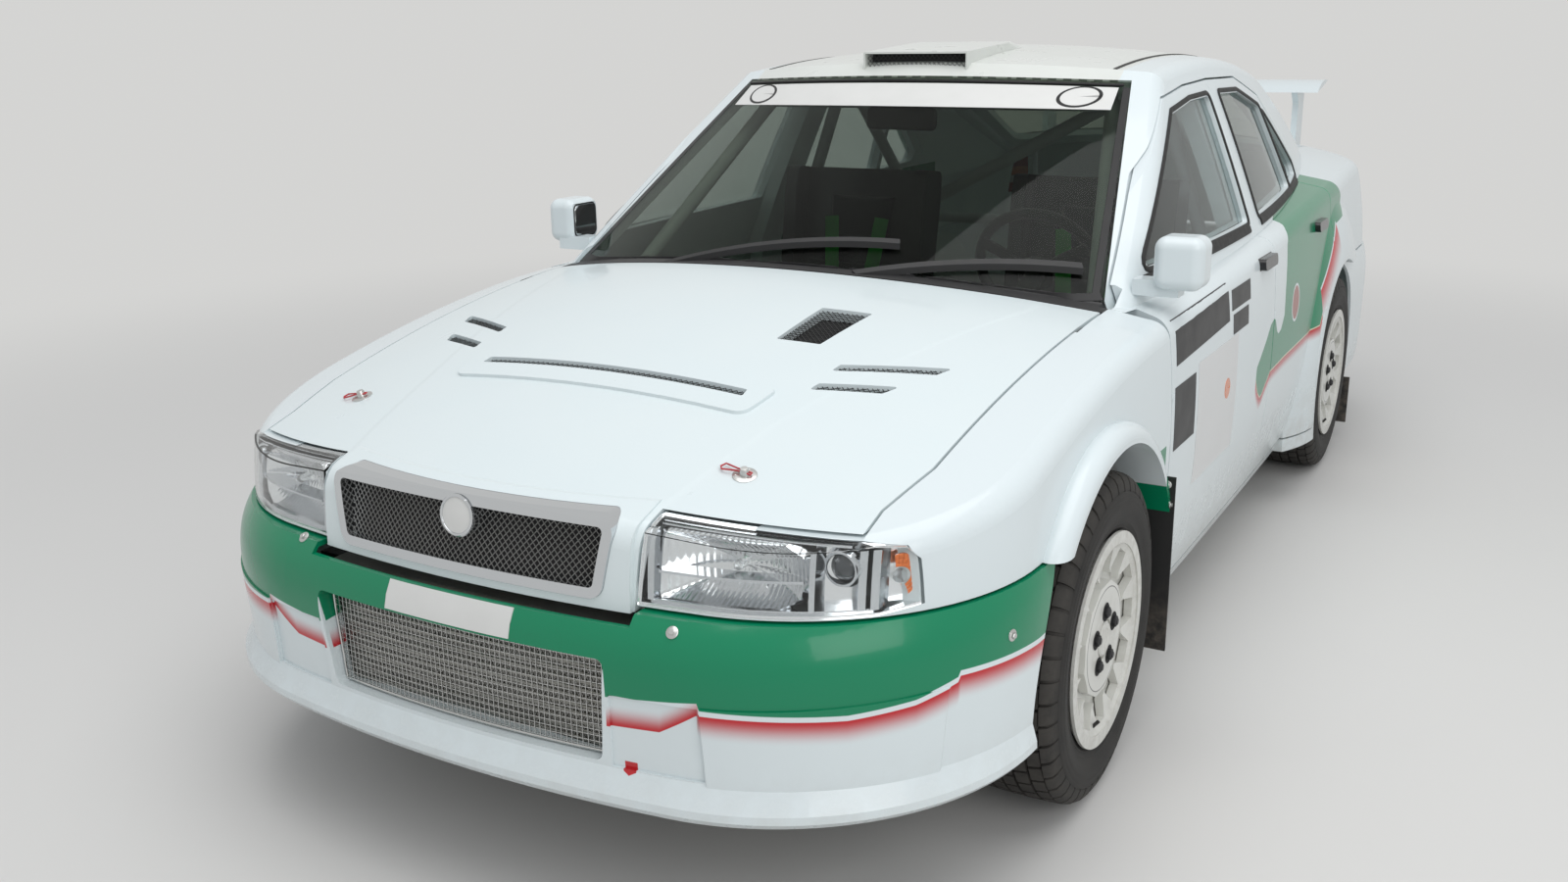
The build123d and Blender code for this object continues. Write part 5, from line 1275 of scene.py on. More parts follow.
def indicator_facets(side):
    """Amber tiles in rings round the indicator's bulb."""
    facets = Shape()
    for (inner_wide, inner_tall), outer in zip(FACET_RINGS, FACET_RINGS[1:]):
        inner = (inner_wide + FACET_GAP, inner_tall + FACET_GAP)
        for turn in FACET_TURNS:
            angles = [math.radians(turn + lean) for lean in FACET_LEANS]
            grids = [
                [[around_bulb(side, size, angle, depth) for angle in angles] for size in (inner, outer)]
                for depth in FACET_DEPTHS
            ]
            facets.sheet(*grids)
    return facets


print("facets", (len(FACET_RINGS) - 1) * len(FACET_TURNS))

# %% Both headlamps
LAMP_PIECES = [
    ("headlamp_bowl", lamp_bowl, fluted, "lamp_housing", 50),
    ("headlamp_trim", lamp_trim, chrome, "lamp_housing", 35),
    ("headlamp_bezel", lamp_bezel, reflector, "lamp_housing", 35),
    ("projector_ring", projector_ring, chrome, "lamp_housing", 35),
    ("projector_eye", projector_eye, lamp_dark, "lamp_lens", 35),
    ("lamp_bulbs", lamp_bulbs, bulb_glass, "lamp_lens", 35),
    ("indicator_facets", indicator_facets, amber, "lamp_housing", 35),
]

for hand, side in SIDES.items():
    for name, make, finish, slot, smooth in LAMP_PIECES:
        make(side).save(f"{name}_{hand}", finish, "body", slot, smooth)
print("lamp pieces", len(SIDES) * len(LAMP_PIECES))

# %% [markdown]
# ## Bonnet slots, pins and bolts
#
# Seven openings in the bonnet let hot air out: one wide slot in the middle and three on each side.
# Each has a dark wire mesh just under the skin and, below it, a near-black sheet of painted shade that
# stands for the dark space under the opening. Mesh laid flat would cut through the curved panel, so a
# small fit to points round each opening gives it a face that bends with the bonnet.

# %% Bonnet slots
WIDE_SLOT = [(-0.303, -1.767), (0.303, -1.767), (0.300, -1.744), (-0.300, -1.744)]
SIDE_SLOTS = [
    [(0.398, -1.606), (0.402, -1.577), (0.588, -1.482), (0.572, -1.522)],
    [(0.396, -1.687), (0.401, -1.659), (0.535, -1.600), (0.518, -1.638)],
    [(0.236, -1.528), (0.240, -1.346), (0.346, -1.330), (0.326, -1.516)],
]
OPENINGS = [WIDE_SLOT, *SIDE_SLOTS] + [[(-x, y) for x, y in outline] for outline in SIDE_SLOTS]
VENT_PITCH = 0.0085
VENT_WIRE = 0.0008
MESH_DEPTH = 0.007
VENT_SHADE_DEPTHS = (0.0275, 0.0295)

bonnet_skin = skin("bonnet")


def fitted_face(samples):
    """A face(x, y, lift) fitted to points of the bonnet and curved across the car."""
    terms = np.array([(1, p.x, p.y, p.x * p.x) for p in samples])
    fit = np.linalg.lstsq(terms, np.array([p.z for p in samples]), rcond=None)[0]

    def face(x, y, lift):
        return Vector((x, y, float(fit @ (1, x, y, x * x)) + lift))

    return face


vent_mesh, vent_shade = Shape(), Shape()
for outline in OPENINGS:
    rim = divided(inset(outline, -0.004), 0.03)
    face = fitted_face([drop(bonnet_skin, (u, v, ABOVE), FROM_ABOVE)[0] for u, v in rim])
    wires(
        vent_mesh, inset(outline, -0.003), VENT_PITCH, CROSSED,
        lambda x, y, lift: face(x, y, lift - MESH_DEPTH), VENT_WIRE,
    )
    # Painted shade: a near-black sheet under each opening stands for the dark space below it.
    wide = [Vector(corner) for corner in inset(outline, -0.008)]
    edges = [[wide[a].lerp(wide[b], t) for t in spaced(0, 1, 8)] for a, b in ((0, 1), (3, 2))]
    vent_shade_rows = between_lines(*edges, 0.05)
    vent_shade.sheet(*[[[face(p.x, p.y, -depth) for p in row] for row in vent_shade_rows] for depth in VENT_SHADE_DEPTHS])
vent_mesh.save("bonnet_vent_mesh", dark_wire, "bonnet", "black_plastic")
vent_shade.save("bonnet_vent_shade_sheets", painted_shade_black, "bonnet", "black_plastic")
print("bonnet openings", len(OPENINGS))

# %% [markdown]
# Two pins with red clips hold the bonnet's front corners, and washer-headed bolts hold the bumper and
# the flaps.

# %% Bonnet pins
PIN_PLACES = [(-0.509, -1.898), (0.428, -1.966)]
PIN_PROFILE = [
    (0, 0), (0.021, 0), (0.021, 0.0014), (0.017, 0.0030), (0.009, 0.0030), (0.0075, 0.012),
    (0.0060, 0.0145), (0, 0.0150),
]
RIVET_PROFILE = [(0, 0), (0.0022, 0), (0.0022, 0.0008), (0, 0.0016)]
RIVET_TURNS = (0.6, 2.7, 4.8)
RIVET_CIRCLE = 0.0150
CLIP = [
    (0.014, 0.003), (0.040, 0.009), (0.046, 0.002), (0.042, -0.008), (0.014, -0.003), (-0.013, -0.003),
    (-0.013, 0.003),
]
CLIP_HEIGHT, CLIP_DROOP = 0.0085, 0.08
CLIP_WIRE = 0.0016

pins, clips = Shape(), Shape()
for x, y in PIN_PLACES:
    seat = facing(*drop(bonnet_skin, (x, y, ABOVE), FROM_ABOVE), (0, -1, 0.3))
    pins.turned(PIN_PROFILE, seat, 32)
    for turn in RIVET_TURNS:
        pins.turned(RIVET_PROFILE, seat @ Matrix.Translation(around(RIVET_CIRCLE, turn, 0.0020)), 10)
    bent = [seat @ Vector((u, v, CLIP_HEIGHT - abs(u) * CLIP_DROOP)) for u, v in divided(CLIP, 0.006)]
    clips.tube(bent, CLIP_WIRE, 8, True)
pins.save("bonnet_pins", bright_metal, "bonnet", "steel")
clips.save("bonnet_pin_clips", sticker_red, "bonnet", "steel")
print("pins", len(PIN_PLACES))

# %% Bumper bolts
FRONT_BOLTS = [(-0.393, 0.590), (0.426, 0.575)]
SIDE_BOLT = (-1.825, 0.517)
FLAP_BOLT_OUT = 0.868
FLAP_BOLT_HEIGHTS = (0.540, 0.500)
FLAP_BOLT_FROM = -2.0
FLAP_BOLT_SIZE = 0.0045

bumper_skin, flap_skin = skin("front_bumper"), skin("mud_flaps")
bolts = Shape()
for x, z in FRONT_BOLTS:
    washer_bolt(bolts, facing(*drop(bumper_skin, (x, BEFORE, z), FROM_FRONT)))
for side in SIDES.values():
    washer_bolt(bolts, facing(*side_drop(bumper_skin, side, *SIDE_BOLT)))
    for z in FLAP_BOLT_HEIGHTS:
        hit = drop(flap_skin, (side * FLAP_BOLT_OUT, FLAP_BOLT_FROM, z), FROM_FRONT)
        washer_bolt(bolts, facing(*hit), FLAP_BOLT_SIZE)
bolts.save("bumper_bolts", bright_metal, "body", "steel")
print("bolts", len(bolts.faces), "faces")

# %% [markdown]
# ## Plates
#
# The number plates' places hold blank white plates, slightly bent to the bumper and the tailgate.
# Each is a film with thickness, made from rays dropped on the panel, so it follows the curve without
# a modifier.

# %% Plates
PLATE_COLUMNS = 14
PLATE_BACK = 0.0006
PLATES = {
    "front": ("front_bumper", "body", 0.137, (0.524, 0.571), BEFORE, FROM_FRONT, 0.0024),
    "rear": ("tailgate", "tailgate", 0.255, (0.742, 0.852), BEHIND, FROM_BACK, 0.0030),
}

for end, (node, body, half, heights, start, ray, lift) in PLATES.items():
    tree = skin(node)
    columns = spaced(-half, half, PLATE_COLUMNS)
    hits = [[drop(tree, (x, start, z), ray) for x in columns] for z in spaced(*heights, 2)]
    faces = [[[point + normal * h for point, normal in row] for row in hits] for h in (lift, PLATE_BACK)]
    plate = Shape()
    plate.sheet(*faces)
    plate.save(f"{end}_plate_blank", sticker_white, body, "body_paint")
print("plates", len(PLATES))

# %% [markdown]
# ## Windscreen strips
#
# The windscreen has a white sun strip across its top, with a round blank place at each end, and a
# black border round its edges. Stickers are thin films, so each is a grid of rays dropped on the
# glass and lifted by two millimetres or less, which lets it follow the glass's double curve.

# %% Sun strip
STRIP_HALF = 0.528
STRIP_STEPS = 24
STRIP_TOP, STRIP_FOOT = (1.3395, 1.3265), (1.286, 1.277)
STRIP_SPREAD = 1.012
ROUND_PLACES = (-0.446, 0.452)
ROUND_HEIGHT = 1.3065
ROUND_RADII = (0.050, 0.042)
ROUND_LIFTS = (0.0014, 0.0020)
GLASS_LEAN = 0.47
SCREEN_FROM = -2

screen_skin = skin("windscreen")


def strip_edge(x, middle, ends):
    """A height that drops from the middle towards the ends."""
    return middle + (ends - middle) * (x / STRIP_HALF) ** 2


strip_xs = spaced(-STRIP_HALF, STRIP_HALF, STRIP_STEPS)
strip = Shape()
upper = [(x, SCREEN_FROM, strip_edge(x, *STRIP_TOP)) for x in strip_xs]
lower = [(x * STRIP_SPREAD, SCREEN_FROM, strip_edge(x, *STRIP_FOOT)) for x in strip_xs]
film(strip, screen_skin, between_lines(upper, lower), FROM_FRONT)
strip.save("sun_strip", sticker_white, "body", "body_paint")
rims, badges = Shape(), Shape()
for x in ROUND_PLACES:
    for shape, radius, lift in zip((rims, badges), ROUND_RADII, ROUND_LIFTS):
        rows = disc_rows((x, SCREEN_FROM, ROUND_HEIGHT), radius, (1, 0, 0), (0, 0, GLASS_LEAN))
        film(shape, screen_skin, rows, FROM_FRONT, lift)
rims.save("sun_strip_rounds", sticker_black, "body", "body_paint")
badges.save("sun_strip_round_middles", sticker_white, "body", "body_paint")
print("sun strip", len(strip.faces), "faces")

# %% Windscreen border
BORDER_SIDE = [(0.545, 1.326), (0.613, 1.12), (0.678, 0.918)]
BORDER_FOOT_HALF, BORDER_FOOT_HEIGHT = 0.69, 0.915
BORDER_SECTION = section([(0.009, 0.0002), (0.008, 0.0012)])
BORDER_FOOT_SECTION = section([(0.012, 0.0002), (0.011, 0.0012)])
HEADER_EDGE = (1.3445, 1.3315)
HEADER_SPREAD = 1.015
HEADER_RADIUS = 0.0045

border = Shape()
for side in SIDES.values():
    line = divided([(side * x, z) for x, z in BORDER_SIDE], 0.03, False)
    border.strip([drop(screen_skin, (x, SCREEN_FROM, z), FROM_FRONT) for x, z in line], BORDER_SECTION)
foot = [(x, SCREEN_FROM, BORDER_FOOT_HEIGHT) for x in spaced(-BORDER_FOOT_HALF, BORDER_FOOT_HALF, 30)]
border.strip([drop(screen_skin, spot, FROM_FRONT) for spot in foot], BORDER_FOOT_SECTION)
header_skin = skin("windscreen", "roof_panel")
header = [(x * HEADER_SPREAD, SCREEN_FROM, strip_edge(x, *HEADER_EDGE)) for x in strip_xs]
border.tube([drop(header_skin, spot, FROM_FRONT)[0] for spot in header], HEADER_RADIUS, 8)
border.save("windscreen_border", sticker_black, "body", "black_rubber")
print("border", len(border.faces), "faces")

# %% [markdown]
# ## Door seals and trims
#
# A rubber seal runs round each side window, and a black trim lies along its sill. One strip of a
# fixed section follows each outline, because that is how the real rubber is made: extruded, then bent
# to the opening.

# %% Window seals
WINDOWS = {
    "front": [[(-0.800, 0.955), (-0.270, 1.262), (-0.080, 1.285), (0.105, 1.290), (0.062, 0.965)]],
    "rear": [
        [(0.200, 0.968), (0.235, 1.290), (0.480, 1.285), (0.742, 1.230), (0.805, 0.986)],
        [(0.830, 0.988), (0.767, 1.222), (1.052, 1.035), (1.045, 1.002)],
    ],
}
SILLS = {"front": [(-0.795, 0.936), (0.058, 0.946)], "rear": [(0.205, 0.949), (1.045, 0.981)]}
LOCKS = {"front": (0.088, 0.868), "rear": (0.905, 0.868)}
SEAL_CORNER = 0.022
SEAL_OUTSIDE = -0.0085
SEAL_SECTION = section([(0.0065, -0.001), (0.0065, 0.0022), (0.003, 0.0042)])
SILL_SECTION = section([(0.011, -0.001), (0.011, 0.0030), (0.006, 0.0050)])
LOCK_PROFILE = [
    (0, -0.001), (0.010, -0.001), (0.010, 0.0012), (0.008, 0.0022), (0.0035, 0.0022), (0, 0.0012),
]


def seal_line(outline, longest):
    """The line of a seal round a window's outline."""
    return divided(rounded(inset(outline, SEAL_OUTSIDE), SEAL_CORNER), longest)


for end in ENDS:
    for hand, side in SIDES.items():
        body = f"{end}_door_{hand}"
        door_skin = skin(body)
        seals, lock = Shape(), Shape()
        for window in WINDOWS[end]:
            hits = [side_drop(door_skin, side, y, z) for y, z in seal_line(window, 0.025)]
            seals.strip(hits, SEAL_SECTION, True)
        hits = [side_drop(door_skin, side, y, z) for y, z in divided(SILLS[end], 0.04, False)]
        seals.strip(hits, SILL_SECTION)
        seals.save(f"{end}_window_seals_{hand}", seal_rubber, body, "black_rubber")
        lock.turned(LOCK_PROFILE, facing(*side_drop(door_skin, side, *LOCKS[end])), 24)
        lock.save(f"{end}_door_lock_{hand}", bright_metal, body, "steel")
print("window seals", len(CORNERS))

# %% [markdown]
# ## Door panels
#
# The front doors carry plain panels: a dark strip below the window, a dark panel at the front edge,
# two small dark ones, a large pale one, and a small round mark. Nothing is written on them. Each is a
# thin film laid by rays, so that it lies on the door's curve.

# %% Door panels
DARK_PANELS = [
    [[(-0.884, 0.868), (-0.430, 0.880)], [(-0.886, 0.771), (-0.422, 0.787)]],
    [[(-0.898, 0.726), (-0.731, 0.726)], [(-0.898, 0.585), (-0.731, 0.585)]],
    [[(-0.397, 0.857), (-0.202, 0.857)], [(-0.397, 0.806), (-0.202, 0.806)]],
    [[(-0.383, 0.795), (-0.224, 0.795)], [(-0.383, 0.746), (-0.224, 0.746)]],
]
PALE_PANEL = [[(-0.705, 0.742), (-0.330, 0.742)], [(-0.705, 0.455), (-0.330, 0.455)]]
PALE_LIFT = 0.0005
MARK_PLACE = (-0.426, 0.622)
MARK_RADIUS = 0.025
MARK_LIFT = 0.0012


def side_rows(side, edges):
    """Ray starts over a four-sided place on a door, from its top and bottom edges."""
    lines = []
    for first, last in edges:
        lines.append([(side * BESIDE, *Vector(first).lerp(Vector(last), t)) for t in spaced(0, 1, 12)])
    return between_lines(*lines)


for hand, side in SIDES.items():
    body = f"front_door_{hand}"
    door_skin = skin(body)
    inwards = (-side, 0, 0)
    dark, pale, mark = Shape(), Shape(), Shape()
    for edges in DARK_PANELS:
        film(dark, door_skin, side_rows(side, edges), inwards)
    film(pale, door_skin, side_rows(side, PALE_PANEL), inwards, PALE_LIFT)
    mark_rows = disc_rows((side * BESIDE, *MARK_PLACE), MARK_RADIUS, (0, 1, 0), (0, 0, 1))
    film(mark, door_skin, mark_rows, inwards, MARK_LIFT)
    dark.save(f"door_panels_{hand}", sticker_black, body, "body_paint")
    pale.save(f"door_pale_panel_{hand}", door_sticker, body, "body_paint")
    mark.save(f"door_dot_{hand}", amber, body, "body_paint")
print("door panels laid")

# %% [markdown]
# ## Mirrors
#
# The glass sits in a dark surround at the back of each housing. The right mirror is folded back, as
# in the photograph, so its glass faces the door.

# %% Mirrors
MIRRORS = {
    "left": ((0.8395, -0.795, 0.989), (0, 1, 0), 0.038),
    "right": ((-0.787, -0.784, 0.989), (1, 0, 0), 0.046),
}
MIRROR_FROM = 0.2
SURROUND_HALF_HEIGHT, SURROUND_CORNER = 0.043, 0.018
SURROUND_WIDTH = 0.003
SURROUND_RADIUS = 0.0022

mirror_glass = Finish("mirror_glass", (0.80, 0.82, 0.83), 0.03, 1.0)
mirror_glass.worn(0.01, 0.05, 20, 5)
for hand, (centre, normal, half) in MIRRORS.items():
    centre, normal = Vector(centre), Vector(normal)
    point, _ = drop(skin(f"mirror_{hand}"), centre + normal * MIRROR_FROM, -normal)
    seat = facing(point, normal)
    pane, surround = Shape(), Shape()
    edge = [half - SURROUND_WIDTH, SURROUND_HALF_HEIGHT - SURROUND_WIDTH, SURROUND_CORNER - SURROUND_WIDTH]
    pane.plate(centred_outline(*edge), 0.0002, 0.0022, seat)
    ring = centred_outline(half, SURROUND_HALF_HEIGHT, SURROUND_CORNER)
    surround.tube([seat @ Vector((u, v, 0.0008)) for u, v in ring], SURROUND_RADIUS, 6, True)
    pane.save(f"mirror_glass_{hand}", mirror_glass, f"front_door_{hand}", "glass")
    surround.save(f"mirror_surround_{hand}", seal_rubber, f"front_door_{hand}", "black_rubber")
print("mirrors", len(MIRRORS))

# %% [markdown]
# ## Roof
#
# Two dark ditch strips run down the roof's edges, and the scoop's mouth has a wire guard in front of
# a near-black plate, painted shade that stands for the dark inside of the scoop.

# %% Roof trim
DITCH_LINE = [(0.498, -0.28), (0.503, 0.20), (0.500, 0.94)]
DITCH_SECTION = section([(0.0055, -0.001), (0.0045, 0.0016)])
SCOOP_MOUTH = four_sided(0.140, 1.372, 1.409)
SCOOP_FRONT = -0.380
SCOOP_PITCH, SCOOP_WIRE = 0.009, 0.0007
SCOOP_SHADE_OUTLINE = rounded(four_sided(0.141, -0.030, 0.022), 0.004, 2)
SCOOP_SHADE_SEAT = facing((0, -0.350, 1.390), (0, -1, 0.25))


def scoop_face(x, z, lift):
    """The scoop guard's flat sheet."""
    return Vector((x, SCOOP_FRONT - lift, z))


roof_skin = skin("roof_panel")
ditches, mouth, scoop_shade = Shape(), Shape(), Shape()
for side in SIDES.values():
    line = divided([(side * x, y) for x, y in DITCH_LINE], 0.04, False)
    ditches.strip([drop(roof_skin, (x, y, ABOVE), FROM_ABOVE) for x, y in line], DITCH_SECTION)
ditches.save("roof_ditch_strips", seal_rubber, "body", "black_rubber")
wires(mouth, SCOOP_MOUTH, SCOOP_PITCH, CROSSED, scoop_face, SCOOP_WIRE)
mouth.save("scoop_guard", dark_wire, "body", "black_plastic")
# Painted shade: a near-black plate in the scoop's mouth stands for the dark inside of the scoop.
scoop_shade.plate(SCOOP_SHADE_OUTLINE, 0, 0.002, SCOOP_SHADE_SEAT)
scoop_shade.save("scoop_shade_plate", painted_shade_black, "body", "black_plastic")
print("roof trimmed")

# %% [markdown]
# ## Wheels
#
# White cast rally wheels: twelve pockets between broad ribs, a hub with five nuts in deep seats, and
# a valve. A near-black disc under each nut is painted shade for its deep seat. The imported wheel has
# its pockets cut through, so a floor ring closes them from behind.
# Every part rides on its wheel, so it turns and steers with it. Grime darkens the paint towards the
# hub and the rim, and a thin near-black ring of painted shade lies in the groove round the hub.

# %% Wheel paint
AXLES = {"front": -1.355, "rear": 1.157}
AXLE_HEIGHT = 0.328
WHEEL_MIDDLE = 0.772
WHEEL_WHITE = (0.66, 0.66, 0.62)
GROOVE_SHADE_SPAN = (0.1025, 0.1045)


def from_axle(paint):
    """The distance from the nearer axle, in the side view."""
    behind = paint.math("MULTIPLY", paint.step(paint.y, 0), AXLES["rear"] - AXLES["front"])
    return paint.distance((paint.math("ADD", behind, AXLES["front"]), AXLE_HEIGHT))


wheel_enamel = enamel("wheel_enamel", WHEEL_WHITE)
reach = from_axle(wheel_enamel)
grime = wheel_enamel.both(
    wheel_enamel.patches(38, 9, 0.72, 0.52, 0.4),
    wheel_enamel.math("ADD", wheel_enamel.step(reach, 0.165, 0.06), wheel_enamel.below(reach, 0.075, 0.05)),
)
wheel_color = wheel_enamel.mix(wheel_enamel.math("MULTIPLY", grime, 0.3), WHEEL_WHITE, (0.28, 0.25, 0.21))
# Painted shade: a thin near-black ring stands for the shade in the groove round the hub.
groove_shade = wheel_enamel.between(reach, *GROOVE_SHADE_SPAN, 0.0012)
wheel_enamel.color(wheel_enamel.mix(groove_shade, wheel_color, (0.06, 0.06, 0.06)))
wheel_enamel.rough(0.3, 0.6, grime)
wheel_enamel.grain(320, 3, 0.0003, 0.4)
dress([f"wheel_{corner}" for corner in CORNERS], wheel_enamel)
print("wheels painted", len(CORNERS))

# %% Wheel fittings
FLOOR_RING = [(0.100, 0.066), (0.150, 0.064), (0.187, 0.073), (0.187, 0.069), (0.150, 0.060), (0.100, 0.061)]
NUT_CIRCLE = 0.056
NUT_OUT = 0.090
NUT_TURNS = [math.radians(90 + 72 * nut) for nut in range(5)]
NUT_SEAT_SHADE = [(0, 0), (0.0175, 0), (0.0190, 0.0010), (0.0170, 0.0022), (0.0125, 0.0008), (0, 0.0008)]
NUT_HALF = 0.0112
NUT_TOP = [(0, 0.006), (0.0070, 0.006), (0.0062, 0.0102), (0, 0.0110)]
CAP_PROFILE = [
    (0, 0.084), (0.035, 0.084), (0.035, 0.0895), (0.031, 0.0925), (0.022, 0.0925), (0.020, 0.0905),
    (0, 0.0905),
]
VALVE_TURN = math.radians(-105)
VALVE_FOOT, VALVE_TIP = (0.176, 0.088), (0.161, 0.100)
VALVE_RADIUS = 0.0036


def wheel_seat(corner):
    """A place on the wheel's axis in its middle plane, with Z outwards."""
    end, hand = corner.split("_")
    side = SIDES[hand]
    return facing((side * WHEEL_MIDDLE, AXLES[end], AXLE_HEIGHT), (side, 0, 0))


for corner in CORNERS:
    seat = wheel_seat(corner)
    body = f"wheel_{corner}"
    floor_ring, cap, nuts, nut_seat_shades, valve = Shape(), Shape(), Shape(), Shape(), Shape()
    floor_ring.turned(FLOOR_RING, seat, 96)
    floor_ring.save(f"wheel_pocket_floor_{corner}", wheel_enamel, body, "wheel_paint")
    for turn in NUT_TURNS:
        spot = seat @ Matrix.Translation(around(NUT_CIRCLE, turn, NUT_OUT))
        # Painted shade: a near-black disc under each nut stands for the shade in its deep seat.
        nut_seat_shades.turned(NUT_SEAT_SHADE, spot, 28)
        nuts.plate(circle(NUT_HALF, 6), 0.0004, 0.0085, spot, 0.0015)
        nuts.turned(NUT_TOP, spot, 16)
    cap.turned(CAP_PROFILE, seat, 48)
    cap.save(f"wheel_cap_{corner}", wheel_enamel, body, "wheel_paint")
    nuts.save(f"wheel_nuts_{corner}", steel, body, "steel")
    nut_seat_shades.save(f"wheel_nut_seat_shades_{corner}", painted_shade_black, body, "black_plastic")
    low, high = [around(radius, VALVE_TURN, out) for radius, out in (VALVE_FOOT, VALVE_TIP)]
    valve.tube([seat @ low, seat @ low.lerp(high, 0.5), seat @ high], VALVE_RADIUS, 10)
    valve.save(f"wheel_valve_{corner}", seal_rubber, body, "black_rubber")
print("wheel nuts", len(CORNERS) * len(NUT_TURNS))

# %% [markdown]
# ## Tyres
#
# Gravel tyres have deep, square tread blocks cut by narrow slots, lugs on the shoulder, and fine
# moulded rings on the wall. Displacing a smooth tyre would need a very dense mesh, so the tyre is
# laid out as a grid that follows the blocks: its lines fall on the block edges, which keeps them
# crisp for few faces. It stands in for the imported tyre.

# %% Tyre rubber
TYRE_BLACK, TYRE_DUST = (0.016, 0.0155, 0.015), (0.11, 0.10, 0.088)
WALL_EDGE = 0.290

tyre_rubber = Finish("tyre_rubber", (0.018, 0.017, 0.017), 0.75, Specular_IOR_Level=0.3)
reach = from_axle(tyre_rubber)
tread_dust = tyre_rubber.both(
    tyre_rubber.patches(30, 9, 0.7, 0.42, 0.4), tyre_rubber.step(reach, 0.300, 0.03)
)
wall_dust = tyre_rubber.math("MULTIPLY", tyre_rubber.patches(16, 8, 0.7, 0.5, 0.4), 0.16)
all_dust = tyre_rubber.math("ADD", tyre_rubber.math("MULTIPLY", tread_dust, 0.28), wall_dust)
tyre_rubber.color(tyre_rubber.mix(all_dust, TYRE_BLACK, TYRE_DUST))
tyre_rubber.rough(0.6, 0.9, all_dust)
rings = tyre_rubber.both(tyre_rubber.ribs(reach, 0.0016), tyre_rubber.below(reach, WALL_EDGE, 0.004))
tyre_rubber.bump(tyre_rubber.math("ADD", rings, tyre_rubber.noise(500, 4)), 0.0003, 0.5)
print("tyre rubber ready")

# %% Tyres
TREAD_PITCHES = 46
GROOVE_DEPTH = 0.0085
LUG_SHARE = 0.8
TREAD_EDGE = 0.0735
CROWN_RADIUS, CROWN_RISE = 0.3255, 0.0025
BLOCK_EDGE = 0.0012
BLOCK_SLANT = 4.0
WALL = [
    (0.0830, 0.2030), (0.0880, 0.2120), (0.0900, 0.2170), (0.0922, 0.2195), (0.0916, 0.2220),
    (0.0944, 0.2270), (0.0966, 0.2310), (0.0958, 0.2335), (0.0995, 0.2460), (0.1018, 0.2580),
    (0.1025, 0.2680), (0.1016, 0.2705), (0.1021, 0.2730), (0.1008, 0.2800), (0.0998, 0.2825),
    (0.1001, 0.2850), (0.0978, 0.2905), (0.0972, 0.2915),
]
LUG = [(0.0982, 0.2930), (0.0942, 0.3080), (0.0880, 0.3180), (0.0790, 0.3235), (0.0740, 0.3250)]
ROW_EDGES = [(0.0715, 0.0480, 0.25), (0.0425, 0.0170, 0.75), (0.0115, -0.0115, 0.30)]
BLOCK_STEPS = [(0.00, 0), (0.13, 0), (0.145, 1), (0.50, 1), (0.985, 1)]
INSIDE = [(-0.060, 0.206), (0.0, 0.206), (0.060, 0.206)]


def crown(out):
    """The tread's radius, which falls a little from its middle to its edges."""
    return CROWN_RADIUS + CROWN_RISE * (1 - (out / ROW_EDGES[0][0]) ** 2)


def tyre_profile():
    """Points across the tyre as (out, radius, relief, share of a block that it is shifted by)."""
    half = [(out, radius, 0, 0.0) for out, radius in WALL] + [(out, radius, 1, 0.0) for out, radius in LUG]
    for first, last, shift in ROW_EDGES:
        half.append((first + BLOCK_EDGE, crown(first), 0, shift))
        for out in (first, (first + last) / 2, last):
            half.append((out, crown(out), 1, shift + (first - out) * BLOCK_SLANT))
        if last > 0:
            half.append((last - BLOCK_EDGE, crown(last), 0, shift + (first - last) * BLOCK_SLANT))
    edge = ROW_EDGES[-1][0]
    outer = [point for point in half if point[0] > edge + BLOCK_EDGE / 2]
    mirrored = [(-out, radius, relief, shift + 0.5) for out, radius, relief, shift in outer]
    _, radius, _, shift = half[-2]
    far_edge = [(-edge, radius, 1, shift + 0.05), (-edge - BLOCK_EDGE, radius, 0, shift + 0.05)]
    return half[:-1] + far_edge + mirrored[::-1]


def groove_depth(out, relief, high):
    """How far a point of the tyre lies below the tops of the blocks."""
    on_tread = abs(out) < TREAD_EDGE
    if high and relief or not relief and not on_tread:
        return 0
    return GROOVE_DEPTH * (1 if on_tread else LUG_SHARE)


PROFILE = tyre_profile()
for corner in CORNERS:
    seat = wheel_seat(corner)
    rows = []
    for block in range(TREAD_PITCHES):
        for share, high in BLOCK_STEPS:
            row = []
            for out, radius, relief, shift in PROFILE:
                turn = 2 * math.pi * (block + share + shift) / TREAD_PITCHES
                row.append(seat @ around(radius - groove_depth(out, relief, high), turn, out))
            turn = 2 * math.pi * (block + share) / TREAD_PITCHES
            rows.append(row + [seat @ around(radius, turn, out) for out, radius in INSIDE])
    tyre = Shape()
    tyre.rows(rows, ring=True, loop=True)
    piece = tyre.save(f"gravel_tyre_{corner}", tyre_rubber, f"wheel_{corner}", "tyre_rubber", 40)
    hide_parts(f"tyre_{corner}")
print("tyre faces", len(tyre.faces))

# %% [markdown]
# ## Seats
#
# Each bucket seat has a base pad, a back pad and a head pad, covered in a dark knitted fabric. A pad
# is a crowned closed form that is thick in its middle and pulls in along its sides, with sewn
# channels across it. A cloth simulation could swell each pad, but these lie in a stiff shell that
# sets their outline, so their crown and channels are worked out point by point on rays dropped on the
# shell.

